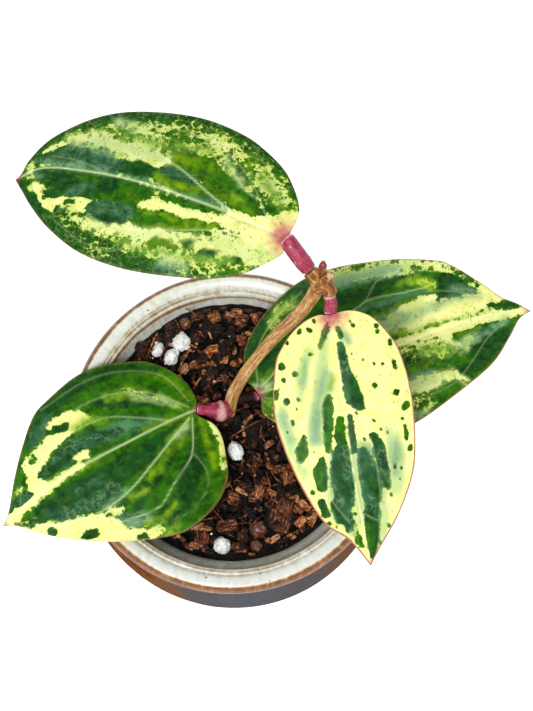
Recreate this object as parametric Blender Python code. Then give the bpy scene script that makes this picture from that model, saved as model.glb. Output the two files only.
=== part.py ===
"""Potted hoya: a glazed pot of bark mix, one leaning woody stem and four leathery leaves.

All sizes are millimetres, and MM turns them into Blender's metres.
The origin is the centre of the pot's foot, +Z is up, and the plant's front faces -Y.
"""

import itertools
import math
import random

import bmesh
import bpy
import numpy as np
from mathutils import Euler, Vector, noise

MM = 0.001

# Gap kept between two pieces that touch.
CLEARANCE = 0.3

# Pot
RIM_RADIUS = 55.2
RIM_HEIGHT = 88.0
BELLY_RADIUS = 55.8
BELLY_HEIGHT = 44.0
FOOT_RADIUS = 38.5
NECK_RADIUS = 53.6
FLOOR_HEIGHT = 6.0
POT_SEGMENTS = 48
DRAIN_COUNT = 3
DRAIN_RADIUS = 4.0
DRAIN_CIRCLE = 17.0
DRAIN_SEGMENTS = 16

# Inner wall from the edge of the floor up to the lip's inner edge, as radius and height.
POT_INSIDE = [
    (30.0, FLOOR_HEIGHT),
    (37.0, 8.5),
    (43.0, 15.0),
    (48.0, 28.0),
    (49.8, BELLY_HEIGHT),
    (47.5, 57.0),
    (44.6, 66.0),
    (42.9, 71.0),
    (43.2, 74.5),
    (44.5, 77.5),
    (45.9, 80.5),
    (46.8, 83.5),
    (47.2, 85.6),
]

# Stepped lip from its inner edge over the crest, as distance in from the rim and down from the top.
POT_LIP = [
    (7.4, 1.7),
    (6.7, 1.4),
    (6.1, 1.9),
    (5.6, 1.3),
    (4.6, 0.6),
    (3.2, 0.1),
    (2.1, 0.0),
    (1.1, 0.5),
    (0.4, 1.4),
    (0.0, 2.8),
    (0.2, 4.0),
    (0.9, 4.9),
]

# Outer wall from the neck under the lip down to the foot.
POT_OUTSIDE = [
    (NECK_RADIUS, 82.2),
    (NECK_RADIUS, 80.6),
    (54.2, 76.0),
    (54.9, 68.0),
    (55.6, 56.0),
    (BELLY_RADIUS, BELLY_HEIGHT),
    (55.0, 32.0),
    (52.6, 20.0),
    (48.6, 10.0),
    (44.2, 3.8),
    (41.0, 1.0),
    (FOOT_RADIUS, 0.0),
]

# Potting mix, whose surface rises towards the back
SOIL_HEIGHT = 76.8
SOIL_SLOPE = 0.075
SOIL_LUMPS = 0.9
SOIL_LUMP_SIZE = 5.0
SOIL_RINGS = (0.92, 0.76, 0.58, 0.38, 0.18)
WALL_RINGS = 4

# The large bark chips, as x, y, length, width and turn in degrees
LARGE_CHIPS = [
    (-7.3, 40.5, 8.0, 5.0, 15.0),
    (2.0, 40.2, 9.0, 5.6, -20.0),
    (-7.2, 36.2, 8.5, 4.6, 5.0),
    (-21.8, 34.2, 6.5, 5.5, 35.0),
    (-8.5, 20.4, 8.6, 7.6, 70.0),
    (-2.7, 27.4, 8.0, 4.2, 80.0),
    (16.3, -27.5, 13.4, 11.4, 80.0),
    (8.8, -19.5, 7.0, 4.6, 65.0),
    (0.1, -21.8, 6.0, 5.4, 150.0),
    (-1.5, -31.0, 8.6, 5.4, 10.0),
    (-10.2, -35.0, 7.0, 6.0, 100.0),
    (8.6, 1.2, 11.0, 8.6, 20.0),
    (16.9, -11.6, 6.4, 4.2, 10.0),
    (24.6, -24.4, 5.4, 3.8, 140.0),
]
LARGE_CHIP_DEPTH = 3.6

# The smaller chips, scattered between them
CHIP_COUNT = 54
CHIP_LENGTH = (4.0, 7.5)
CHIP_WIDTH_SHARE = (0.45, 0.8)
CHIP_DEPTH_SHARE = (0.35, 0.55)
CHIP_CORNER = (0.7, 1.0)
CHIP_TILT = 0.4
CHIP_RAISED = 0.12
CHIP_ROOM = 0.3
CHIP_SEED = 7

# Places of the loose grains on the surface, as x, y and radius
PERLITE = [
    (-18.0, 32.0, 2.9),
    (-26.0, 29.2, 2.2),
    (-21.2, 26.8, 2.5),
    (1.2, -5.7, 2.8),
    (-3.6, -37.6, 2.8),
]
CLAY_BALLS = [
    (8.9, -32.4, 2.8),
    (8.2, -37.9, 2.1),
    (-16.4, 38.6, 2.1),
]
GRAIN_SUNK = 0.35
PERLITE_LUMPS = 0.22
CLAY_LUMPS = 0.06

# Stem, from its foot in the mix to the top node
STEM_PATH = [
    (-3.8, -2.0, 60.0),
    (-2.4, 2.4, 69.5),
    (-1.1, 7.2, 77.8),
    (0.3, 12.3, 84.6),
    (4.2, 17.4, 91.8),
    (9.0, 22.3, 99.0),
    (14.8, 27.1, 106.8),
    (21.1, 31.0, 115.5),
    (26.0, 34.8, 124.3),
    (28.6, 38.4, 131.5),
]
STEM_RADII = (2.3, 2.2, 2.0, 2.1, 2.45)
STEM_SIDES = 12
STEM_STEPS = 20
# Bare ground round the stem's foot, which the two low petioles cover, as x, y and radius
STEM_GROUND = (-1.6, 8.6, 6.5)

# The woody node at the stem's top, its cut flower stalk and its collars round the petioles
NODE_RADIUS = 3.3
STALK_PATH = [STEM_PATH[-1], (30.4, 38.2, 134.8), (31.7, 38.5, 137.6)]
STALK_RADII = (2.3, 1.7, 1.6)
COLLAR_RADIUS = 2.4
COLLAR_LENGTH = 2.0
BUD_COLLAR_RADIUS = 1.5

BUD_PATH = [(29.3, 41.7, 136.0), (29.4, 42.1, 137.0), (29.5, 42.6, 138.0), (29.5, 43.0, 138.8)]
BUD_RADII = (1.2, 1.2, 0.8, 0.3)
BUD_SIDES = 10

PETIOLE_SIDES = 12
# How far below its leaf's base a petiole's axis ends, and the length of its level end
PETIOLE_DROP = 0.9
PETIOLE_LEVEL = 1.2

LEAF_ROWS = 24
# Columns from the midrib to the margin, as shares of the half blade
LEAF_COLUMNS = (0.0, 0.07, 0.22, 0.44, 0.68, 0.88, 1.0)
BASE_HALF_WIDTH = 2.5
# How the midrib's points gather towards the base, against those of the margins
MIDRIB_GATHER = 1.5
ROW_BOW = 0.65
BLADE_THICKNESS = 1.5
MARGIN_THICKNESS = 0.9
MARGIN_TAPER = 6.0
MIDRIB_GROOVE = 0.45
MIDRIB_RIDGE = 0.9
MIDRIB_WIDTH = 1.8
# Share of the length over which the midrib's groove fades out at the tip
GROOVE_FADE = 1.0 / 6.0
# Distance from the midrib at which the blade's waves reach their full height
WAVE_REACH = 30.0

# Each leaf lies in its own frame: along its length from the base, and across to its left.
# heading is its direction on plan, arrive the petiole's direction against it, both in degrees.
# rise is the blade's height over its base along the length, and cup its curvature across.
LEAVES = {
    "leaf_a": {
        "base": (17.5, 49.8, 141.0),
        "heading": 165.0,
        "arrive": -34.0,
        "left": [(-0.6, 4.6), (3.9, 9.5), (9.1, 14.0), (14.9, 17.0), (23.3, 19.8), (37.2, 22.1),
                 (50.5, 22.1), (62.7, 20.0), (73.5, 14.6), (81.4, 8.4), (87.2, 2.6), (89.8, 0.0)],
        "right": [(-2.1, -8.2), (-1.2, -12.3), (2.1, -17.8), (6.7, -23.0), (13.6, -27.5),
                  (21.2, -30.6), (35.4, -32.8), (48.9, -32.2), (61.8, -29.0), (73.0, -23.3),
                  (82.7, -15.4), (87.3, -7.2), (88.4, -2.4), (89.8, 0.0)],
        "midrib": [(10.1, -1.7), (28.4, -3.4), (48.5, -5.4), (67.7, -6.0), (82.0, -5.0), (89.8, 0.0)],
        "rise": [(-12.0, -0.4), (0.0, 0.0), (25.0, 2.3), (50.0, 1.5), (72.0, -3.6), (90.0, -11.0)],
        "cup": -0.005,
        "waves": (3.0, 0.7, 0.4),
    },
    "leaf_b": {
        "base": (-11.9, 7.2, 85.0),
        "heading": -147.7,
        "arrive": -36.5,
        "left": [(-2.0, 7.0), (-2.1, 12.7), (0.7, 20.2), (3.3, 25.3), (7.4, 29.2), (13.6, 32.5),
                 (22.0, 34.2), (28.8, 33.4), (42.4, 27.4), (54.9, 19.4), (65.1, 10.1),
                 (71.0, 3.0), (75.5, 0.0)],
        "right": [(-1.9, -5.3), (-1.7, -10.5), (0.7, -16.4), (4.2, -21.3), (8.7, -24.7),
                  (20.3, -29.0), (30.0, -30.0), (40.8, -28.1), (48.0, -25.6), (57.2, -17.9),
                  (64.5, -10.7), (71.5, -2.8), (75.5, 0.0)],
        "midrib": [(9.9, -1.1), (24.3, -0.9), (46.2, -1.9), (60.0, -1.7), (75.5, 0.0)],
        "rise": [(-12.0, -0.6), (0.0, 0.0), (15.0, 4.0), (30.0, 7.0), (45.0, 8.0), (60.0, 6.8),
                 (78.0, 2.6)],
        "cup": 0.0,
        "waves": (2.6, 0.8, 1.9),
    },
    "leaf_c": {
        "base": (32.3, 29.1, 128.0),
        "heading": -80.3,
        "arrive": 4.7,
        "left": [(0.0, 6.0), (1.3, 9.9), (4.1, 13.6), (9.4, 17.0), (15.5, 19.4), (28.6, 20.9),
                 (44.9, 19.4), (54.0, 16.8), (64.4, 10.7), (73.0, 3.6), (77.7, 0.0)],
        "right": [(-0.2, -4.3), (1.0, -8.7), (3.8, -13.4), (8.5, -17.8), (13.7, -20.6),
                  (27.0, -23.2), (39.5, -21.8), (51.3, -18.3), (62.8, -12.9), (68.4, -6.4),
                  (73.0, -2.9), (77.7, 0.0)],
        "midrib": [(12.6, -0.5), (33.4, -1.2), (53.7, -0.8), (69.0, -0.7), (77.7, 0.0)],
        "rise": [(-8.0, 0.2), (0.0, 0.0), (20.0, -2.2), (40.0, -8.0), (60.0, -17.0), (78.0, -29.3)],
        "cup": -0.004,
        "waves": (3.4, 0.6, 2.6),
    },
    "leaf_d": {
        "base": (8.5, 12.8, 83.5),
        "heading": 16.3,
        "arrive": 13.4,
        "left": [(-2.2, 6.0), (-1.3, 11.6), (-0.2, 15.0), (2.4, 18.9), (6.7, 23.0), (12.9, 27.1),
                 (24.0, 31.4), (36.0, 32.3), (46.0, 31.4), (56.7, 29.4), (66.8, 26.2), (74.5, 22.8),
                 (83.5, 13.8), (88.6, 7.4), (93.2, 3.8), (97.1, 0.0)],
        "right": [(0.0, -6.7), (3.1, -11.4), (12.0, -19.4), (24.0, -25.2), (36.0, -27.6),
                  (48.1, -26.4), (65.0, -20.5), (78.5, -14.2), (87.0, -7.0), (92.5, -1.6),
                  (97.1, 0.0)],
        "midrib": [(10.0, 0.6), (30.0, 0.2), (49.1, 0.8), (75.3, 1.8), (90.3, 2.0), (97.1, 0.0)],
        "rise": [(-12.0, -0.3), (0.0, 0.0), (15.0, 4.3), (30.0, 7.6), (48.0, 10.1), (70.0, 10.4),
                 (98.0, 8.0)],
        "cup": 0.0028,
        "waves": (3.0, 0.8, 0.9),
    },
}

# Each petiole's path starts at the stem, and its end follows from its leaf's base.
# The last radius is that of the end. A clasped petiole is cut to the stem's side.
PETIOLES = {
    "petiole_a": {"leaf": "leaf_a", "clasped": False, "radii": (2.3, 2.7, 2.7, 2.7),
                  "path": [(25.2, 41.0, 135.6), (22.2, 44.2, 138.1), (19.7, 47.2, 139.6)]},
    "petiole_b": {"leaf": "leaf_b", "clasped": True, "radii": (3.2, 3.7, 2.8, 1.9),
                  "path": [(-1.6, 8.0, 81.6), (-4.0, 7.1, 82.5), (-7.2, 7.1, 83.4)]},
    "petiole_c": {"leaf": "leaf_c", "clasped": False, "radii": (2.0, 2.0, 2.1),
                  "path": [(31.5, 34.3, 131.2), (32.0, 32.0, 129.4)]},
    "petiole_d": {"leaf": "leaf_d", "clasped": True, "radii": (2.1, 2.1, 2.0),
                  "path": [(0.4, 10.8, 81.2), (4.4, 12.0, 82.0)]},
}

COLOURS = {
    "glaze": ((0.72, 0.69, 0.6), 0.25),
    "bark": ((0.08, 0.035, 0.018), 0.85),
    "perlite": ((0.85, 0.85, 0.82), 0.9),
    "clay": ((0.2, 0.09, 0.04), 0.35),
    "wood": ((0.45, 0.27, 0.12), 0.7),
    "bud": ((0.3, 0.04, 0.04), 0.5),
    "petiole": ((0.45, 0.09, 0.13), 0.45),
    "leaf": ((0.1, 0.25, 0.06), 0.4),
    "pale_leaf": ((0.75, 0.75, 0.3), 0.4),
}


def material(name):
    colour, roughness = COLOURS[name]
    made = bpy.data.materials.new(name)
    made.use_nodes = True
    shader = made.node_tree.nodes["Principled BSDF"]
    shader.inputs["Base Color"].default_value = (*colour, 1.0)
    shader.inputs["Roughness"].default_value = roughness
    return made


def shade(mesh, sharp_degrees):
    mesh.shade_smooth()
    mesh.set_sharp_from_angle(angle=math.radians(sharp_degrees))


def add_object(name, mesh, finish, sharp_degrees=40.0, parent=None):
    mesh.materials.append(finish)
    shade(mesh, sharp_degrees)
    obj = bpy.data.objects.new(name, mesh)
    obj.parent = parent
    bpy.context.scene.collection.objects.link(obj)
    return obj


def mesh_from(name, shape):
    """A mesh in metres from a bmesh in millimetres, with its faces turned outwards."""
    bmesh.ops.recalc_face_normals(shape, faces=shape.faces)
    bmesh.ops.scale(shape, vec=(MM, MM, MM), verts=shape.verts)
    mesh = bpy.data.meshes.new(name)
    shape.to_mesh(mesh)
    shape.free()
    return mesh


def apply_modifiers(obj):
    bpy.context.view_layer.update()
    graph = bpy.context.evaluated_depsgraph_get()
    made = bpy.data.meshes.new_from_object(obj.evaluated_get(graph))
    obj.modifiers.clear()
    obj.data = made


def combine(obj, operation, others, solver="EXACT"):
    """One applied Boolean of obj with a collection of other objects, which are then removed."""
    group = bpy.data.collections.new(f"{obj.name}_{operation.lower()}")
    bpy.context.scene.collection.children.link(group)
    for other in others:
        group.objects.link(other)
        bpy.context.scene.collection.objects.unlink(other)
        other.hide_render = True
        other.display_type = "WIRE"
    modifier = obj.modifiers.new(operation.title(), "BOOLEAN")
    modifier.operation = operation
    modifier.solver = solver
    modifier.operand_type = "COLLECTION"
    modifier.collection = group
    apply_modifiers(obj)
    for other in others:
        bpy.data.objects.remove(other)
    bpy.data.collections.remove(group)


def keep_outer_shell(obj):
    """Drops loose scraps and fills sealed hollows: only the mesh's largest shell stays."""
    shape = bmesh.new()
    shape.from_mesh(obj.data)
    unseen = set(shape.verts)
    shells = []
    while unseen:
        stack = [unseen.pop()]
        shell = set(stack)
        while stack:
            for edge in stack.pop().link_edges:
                fresh = {v for v in edge.verts if v in unseen}
                unseen -= fresh
                shell |= fresh
                stack.extend(fresh)
        shells.append(shell)
    largest = max(shells, key=len)
    dropped = [v for shell in shells if shell is not largest for v in shell]
    bmesh.ops.delete(shape, geom=dropped, context="VERTS")
    shape.to_mesh(obj.data)
    shape.free()


def smooth_points(points, per_span=12):
    """Points along a smooth curve through the given ones."""
    given = np.array(points, float)
    padded = np.vstack([2 * given[0] - given[1], given, 2 * given[-1] - given[-2]])
    found = []
    for before, start, end, after in zip(padded, padded[1:], padded[2:], padded[3:]):
        for t in np.arange(per_span) / per_span:
            found.append(
                0.5 * (2 * start + (end - before) * t
                       + (2 * before - 5 * start + 4 * end - after) * t ** 2
                       + (3 * start - before - 3 * end + after) * t ** 3)
            )
    found.append(given[-1])
    return np.array(found)


def along(curve, shares):
    """Points of a polyline at these shares of its length."""
    lengths = np.concatenate([[0.0], np.cumsum(np.linalg.norm(np.diff(curve, axis=0), axis=1))])
    wanted = np.array(shares) * lengths[-1]
    return np.stack([np.interp(wanted, lengths, curve[:, k]) for k in range(curve.shape[1])], axis=1)


def tube_shape(path, radii, sides, steps=0):
    """A capped tube along a path. With steps the path and the radii are smoothed first."""
    points = np.array(path, float)
    radii = np.array(radii, float)
    if steps:
        shares = np.linspace(0.0, 1.0, steps + 1)
        radii = np.interp(shares, np.linspace(0.0, 1.0, len(radii)), radii)
        points = along(smooth_points(points), shares)
    shape = bmesh.new()
    across = Vector((0.0, 1.0, 0.0))
    rings = []
    for index, (point, radius) in enumerate(zip(points, radii)):
        ahead = points[min(index + 1, len(points) - 1)]
        behind = points[max(index - 1, 0)]
        direction = Vector(ahead - behind).normalized()
        across = (across - direction * across.dot(direction)).normalized()
        upright = direction.cross(across)
        ring = []
        for side in range(sides):
            angle = 2 * math.pi * side / sides
            offset = (across * math.cos(angle) + upright * math.sin(angle)) * float(radius)
            ring.append(shape.verts.new(Vector(point) + offset))
        rings.append(ring)
    for lower, upper in zip(rings, rings[1:]):
        for side in range(sides):
            after = (side + 1) % sides
            shape.faces.new((lower[side], lower[after], upper[after], upper[side]))
    shape.faces.new(rings[0])
    shape.faces.new(rings[-1])
    return shape


def pot(finish, parent):
    lip = [(RIM_RADIUS - inwards, RIM_HEIGHT - down) for inwards, down in POT_LIP]
    profile = [(0.0, FLOOR_HEIGHT), *POT_INSIDE, *lip, *POT_OUTSIDE, (0.0, 0.0)]
    mesh = bpy.data.meshes.new("pot")
    corners = [(radius * MM, 0.0, height * MM) for radius, height in profile]
    mesh.from_pydata(corners, [(n, n + 1) for n in range(len(corners) - 1)], [])
    obj = add_object("pot", mesh, finish, parent=parent)
    screw = obj.modifiers.new("Turn", "SCREW")
    screw.axis = "Z"
    screw.angle = 2 * math.pi
    screw.steps = POT_SEGMENTS
    screw.render_steps = POT_SEGMENTS
    screw.use_merge_vertices = True
    screw.merge_threshold = 0.00005
    screw.use_smooth_shade = True
    combine(obj, "DIFFERENCE", drain_cutters(finish))
    shade(obj.data, 50.0)


def drain_cutters(finish):
    cutters = []
    for number in range(DRAIN_COUNT):
        angle = 2 * math.pi * (number + 0.25) / DRAIN_COUNT
        shape = bmesh.new()
        bmesh.ops.create_cone(shape, cap_ends=True, segments=DRAIN_SEGMENTS,
                              radius1=DRAIN_RADIUS, radius2=DRAIN_RADIUS, depth=4 * FLOOR_HEIGHT)
        place = (DRAIN_CIRCLE * math.cos(angle), DRAIN_CIRCLE * math.sin(angle), 0.0)
        bmesh.ops.translate(shape, vec=place, verts=shape.verts)
        cutters.append(add_object(f"drain_cutter_{number}", mesh_from("drain", shape), finish))
    return cutters


def inner_radius(height):
    """Radius of the pot's inner wall at a height."""
    return float(np.interp(height, [h for _, h in POT_INSIDE], [r for r, _ in POT_INSIDE]))


def soil_level(x, y):
    """Height of the mix's surface without its lumps."""
    return SOIL_HEIGHT + SOIL_SLOPE * y


def mix_edge(angle):
    """The point where the mix's surface meets the wall, in a direction from the pot's axis."""
    radius = inner_radius(SOIL_HEIGHT)
    for _ in range(6):
        height = soil_level(radius * math.cos(angle), radius * math.sin(angle))
        radius = inner_radius(height) - CLEARANCE
    return radius, height


def ring_of(shape, places):
    return [shape.verts.new(place) for place in places]


def mix_rings(shape, angles):
    """The mix's rings of points: up the inner wall, then over the lumpy surface to its middle."""
    edges = [mix_edge(angle) for angle in angles]
    lowest_edge = min(height for _, height in edges)
    walls = [(radius, height) for radius, height in POT_INSIDE if height < lowest_edge - 1.0]
    rings = []
    for radius, height in walls:
        lifted = height + (CLEARANCE if height == FLOOR_HEIGHT else 0.0)
        clear = radius - CLEARANCE
        rings.append(ring_of(shape, [(clear * math.cos(a), clear * math.sin(a), lifted) for a in angles]))
    top_wall = walls[-1][1]
    for number in range(1, WALL_RINGS + 1):
        places = []
        for a, (_, edge_height) in zip(angles, edges):
            height = top_wall + number / WALL_RINGS * (edge_height - top_wall)
            radius = inner_radius(height) - 1.5 * CLEARANCE
            places.append((radius * math.cos(a), radius * math.sin(a), height))
        rings.append(ring_of(shape, places))
    for share in SOIL_RINGS:
        places = []
        for a, (radius, _) in zip(angles, edges):
            x = share * radius * math.cos(a)
            y = share * radius * math.sin(a)
            lump = SOIL_LUMPS * noise.noise(Vector((x, y, 0.0)) / SOIL_LUMP_SIZE)
            places.append((x, y, soil_level(x, y) + lump))
        rings.append(ring_of(shape, places))
    return rings


def mix_body(finish, parent):
    """The mass of the mix, closed by a fan of faces at its bottom and one at its top."""
    shape = bmesh.new()
    rings = mix_rings(shape, [2 * math.pi * n / POT_SEGMENTS for n in range(POT_SEGMENTS)])
    for lower, upper in zip(rings, rings[1:]):
        for n in range(POT_SEGMENTS):
            after = (n + 1) % POT_SEGMENTS
            shape.faces.new((lower[n], lower[after], upper[after], upper[n]))
    for ring, height in ((rings[0], FLOOR_HEIGHT + CLEARANCE), (rings[-1], soil_level(0.0, 0.0))):
        middle = shape.verts.new((0.0, 0.0, height))
        for n in range(POT_SEGMENTS):
            shape.faces.new((ring[n], ring[(n + 1) % POT_SEGMENTS], middle))
    return add_object("potting_mix", mesh_from("potting_mix", shape), finish, 30.0, parent)


def clear_of(x, y, reach, places):
    return all(math.hypot(x - px, y - py) > radius + reach for px, py, radius in places)


def bark_chip(draw, size, place, turn):
    """A rough block: the hull of eight corners, each drawn in by its own amount."""
    shape = bmesh.new()
    for corner in itertools.product((-0.5, 0.5), repeat=3):
        pull = Vector([draw.uniform(*CHIP_CORNER) for _ in corner])
        shape.verts.new(Vector(corner) * pull * size)
    bmesh.ops.convex_hull(shape, input=shape.verts)
    tilt = [draw.uniform(-CHIP_TILT, CHIP_TILT) for _ in range(2)]
    bmesh.ops.rotate(shape, matrix=Euler((*tilt, turn)).to_matrix(), verts=shape.verts)
    x, y = place
    raised = soil_level(x, y) + CHIP_RAISED * size.z
    bmesh.ops.translate(shape, vec=(x, y, raised), verts=shape.verts)
    return shape


def bark_chips(finish):
    """The large chips, then the small ones by a seeded draw, clear of the grains and the stem."""
    draw = random.Random(CHIP_SEED)
    shapes = []
    for x, y, length, width, turn in LARGE_CHIPS:
        size = Vector((length, width, LARGE_CHIP_DEPTH))
        shapes.append(bark_chip(draw, size, (x, y), math.radians(turn)))
    taken = [*PERLITE, *CLAY_BALLS, STEM_GROUND]
    taken += [(x, y, width / 4) for x, y, _, width, _ in LARGE_CHIPS]
    while len(shapes) < len(LARGE_CHIPS) + CHIP_COUNT:
        length = draw.uniform(*CHIP_LENGTH)
        width = length * draw.uniform(*CHIP_WIDTH_SHARE)
        size = Vector((length, width, length * draw.uniform(*CHIP_DEPTH_SHARE)))
        radius = inner_radius(SOIL_HEIGHT) * math.sqrt(draw.random())
        angle = draw.uniform(0.0, 2 * math.pi)
        x, y = radius * math.cos(angle), radius * math.sin(angle)
        inside = radius < mix_edge(angle)[0] - 0.55 * length - CLEARANCE
        if inside and clear_of(x, y, CHIP_ROOM * length, taken):
            shapes.append(bark_chip(draw, size, (x, y), draw.uniform(0.0, 2 * math.pi)))
    return [add_object(f"chip_{n}", mesh_from("chip", chip), finish) for n, chip in enumerate(shapes)]


def grain_shape(radius, lumps, seed):
    """A lumpy ball about its own centre."""
    shape = bmesh.new()
    bmesh.ops.create_icosphere(shape, subdivisions=2, radius=radius)
    for vertex in shape.verts:
        lump = noise.noise(vertex.co / radius * 1.3 + Vector((seed * 7.7, 0.0, 0.0)))
        vertex.co *= 1.0 + lumps * lump
    return shape


def grains(kind, places, lumps, finish, parent):
    """Loose grains of one kind, half sunk in the mix. Gives back the cutters for their pits."""
    cutters = []
    for number, (x, y, radius) in enumerate(places, start=1):
        place = Vector((x, y, soil_level(x, y) + radius * GRAIN_SUNK)) * MM
        name = f"{kind}_{number}"
        grain = mesh_from(name, grain_shape(radius, lumps, number))
        add_object(name, grain, finish, 60.0, parent).location = place
        pit = mesh_from("pit", grain_shape(radius + 1.3 * CLEARANCE, lumps, number))
        cutters.append(add_object(f"{name}_pit", pit, finish))
        cutters[-1].location = place
    return cutters


def stem_cutter(finish):
    """The stem's own tube, wider by the clearance and deeper at its foot."""
    radii = [radius + CLEARANCE + 0.1 for radius in STEM_RADII]
    shape = tube_shape(STEM_PATH, radii, STEM_SIDES, STEM_STEPS)
    for vertex in shape.verts:
        if vertex.co.z < STEM_PATH[0][2] + STEM_RADII[0]:
            vertex.co.z -= 2 * CLEARANCE
    return add_object("stem_cutter", mesh_from("stem_cutter", shape), finish)


def potting_mix(finish, cutters, parent):
    obj = mix_body(finish, parent)
    combine(obj, "UNION", bark_chips(finish))
    combine(obj, "DIFFERENCE", [*cutters, stem_cutter(finish)])
    keep_outer_shell(obj)
    shade(obj.data, 30.0)


def collar(path, radius):
    """The woody arm that carries a petiole or a bud, one clearance short of it and square to it."""
    start = Vector(path[0])
    direction = (Vector(path[1]) - start).normalized()
    ends = [STEM_PATH[-1], start - direction * COLLAR_LENGTH, start - direction * CLEARANCE]
    return tube_shape(ends, [radius] * len(ends), PETIOLE_SIDES)


def stem(finish, parent):
    shape = tube_shape(STEM_PATH, STEM_RADII, STEM_SIDES, STEM_STEPS)
    obj = add_object("stem", mesh_from("stem", shape), finish, 60.0, parent)
    node = bmesh.new()
    bmesh.ops.create_icosphere(node, subdivisions=2, radius=NODE_RADIUS)
    bmesh.ops.translate(node, vec=STEM_PATH[-1], verts=node.verts)
    arms = [
        node,
        tube_shape(STALK_PATH, STALK_RADII, PETIOLE_SIDES),
        collar(PETIOLES["petiole_a"]["path"], COLLAR_RADIUS),
        collar(PETIOLES["petiole_c"]["path"], COLLAR_RADIUS),
        collar(BUD_PATH, BUD_COLLAR_RADIUS),
    ]
    parts = [add_object(f"arm_{n}", mesh_from("arm", arm), finish) for n, arm in enumerate(arms)]
    combine(obj, "UNION", parts, "MANIFOLD")
    shade(obj.data, 60.0)


def blade_frame(leaf):
    """The petiole's direction at the leaf's base, and the direction across it, on plan."""
    angle = math.radians(leaf["arrive"])
    forward = np.array([math.cos(angle), math.sin(angle)])
    return forward, np.array([-forward[1], forward[0]])


def blade_lines(leaf):
    """Left margin, midrib and right margin on plan, each as one point for each row."""
    forward, sideways = blade_frame(leaf)
    middle = forward * CLEARANCE
    shares = np.linspace(0.0, 1.0, LEAF_ROWS + 1)
    lines = []
    for name, side, gather in (("left", 1.0, 1.0), ("midrib", 0.0, MIDRIB_GATHER), ("right", -1.0, 1.0)):
        start = middle + sideways * side * BASE_HALF_WIDTH
        curve = smooth_points([tuple(start), *leaf[name]])
        lines.append(along(curve, shares ** gather))
    return lines


def row_point(leaf, middle, margin, share):
    """A point of a row. Where the margin lies behind the midrib's point, the row bows ahead."""
    forward, _ = blade_frame(leaf)
    behind = max(0.0, float((middle - margin) @ forward))
    bow = 2.0 * ROW_BOW * behind * share * (1.0 - share)
    return middle + share * (margin - middle) + bow * forward


def blade_height(leaf, place, from_midrib, row_share):
    """Height of the blade's upper face over the leaf's base."""
    rise = smooth_points(leaf["rise"])
    count, size, phase = leaf["waves"]
    height = np.interp(place[0], rise[:, 0], rise[:, 1]) + leaf["cup"] * place[1] ** 2
    wave = math.sin(2 * math.pi * count * row_share + phase)
    height += size * wave * (from_midrib / WAVE_REACH) ** 2
    fade = min(1.0, (1.0 - row_share) / GROOVE_FADE)
    return height - MIDRIB_GROOVE * fade * math.exp(-((from_midrib / MIDRIB_WIDTH) ** 2))


def blade_thickness(from_margin, from_midrib, row_share):
    """Thin at the margin, full in the blade and thicker along the midrib's underside."""
    inside = min(1.0, from_margin / MARGIN_TAPER)
    full = MARGIN_THICKNESS + (BLADE_THICKNESS - MARGIN_THICKNESS) * inside
    ridge = MIDRIB_RIDGE * (1.0 - row_share) * math.exp(-((from_midrib / MIDRIB_WIDTH) ** 2))
    return full + ridge


def blade_rows(leaf, shape):
    """The blade's points, as rows across it for its top and for its bottom. The tip is one point."""
    left, middle, right = blade_lines(leaf)
    shares = [-share for share in reversed(LEAF_COLUMNS[1:])] + list(LEAF_COLUMNS)
    tops, bottoms = [], []
    for row in range(LEAF_ROWS + 1):
        row_share = row / LEAF_ROWS
        tops.append([])
        bottoms.append([])
        for share in shares if row < LEAF_ROWS else (0.0,):
            margin = left[row] if share > 0 else right[row]
            x, y = row_point(leaf, middle[row], margin, abs(share))
            half = float(np.linalg.norm(margin - middle[row]))
            height = blade_height(leaf, (x, y), abs(share) * half, row_share)
            depth = blade_thickness((1.0 - abs(share)) * half, abs(share) * half, row_share)
            tops[-1].append(shape.verts.new((x, y, height)))
            bottoms[-1].append(shape.verts.new((x, y, height - depth)))
    return tops, bottoms


def blade_side(shape, rows):
    """One side's triangles. Each half's diagonals lean towards the tip from the midrib."""
    *full_rows, (tip,) = rows
    middle = len(full_rows[0]) // 2
    for near, far in zip(full_rows, full_rows[1:]):
        for n in range(len(near) - 1):
            if n < middle:
                shape.faces.new((near[n], far[n], far[n + 1]))
                shape.faces.new((near[n], far[n + 1], near[n + 1]))
            else:
                shape.faces.new((near[n], far[n], near[n + 1]))
                shape.faces.new((far[n], far[n + 1], near[n + 1]))
    for a, b in zip(full_rows[-1], full_rows[-1][1:]):
        shape.faces.new((a, tip, b))


def outline_of(rows):
    """The points round a side's edge, from the base along one margin to the tip and back."""
    *full_rows, (tip,) = rows
    there = [row[-1] for row in full_rows[1:]]
    back = [row[0] for row in reversed(full_rows[1:])]
    return [*full_rows[0], *there, tip, *back]


def leaf_blade(name, leaf, finish, parent):
    """A closed blade with a top, a bottom of the same triangles and a wall round its edge."""
    shape = bmesh.new()
    tops, bottoms = blade_rows(leaf, shape)
    blade_side(shape, tops)
    blade_side(shape, bottoms)
    upper, lower = outline_of(tops), outline_of(bottoms)
    for n in range(len(upper)):
        after = (n + 1) % len(upper)
        shape.faces.new((upper[n], upper[after], lower[after], lower[n]))
    obj = add_object(name, mesh_from(name, shape), finish, 50.0, parent)
    obj.location = Vector(leaf["base"]) * MM
    obj.rotation_euler.z = math.radians(leaf["heading"])


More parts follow.
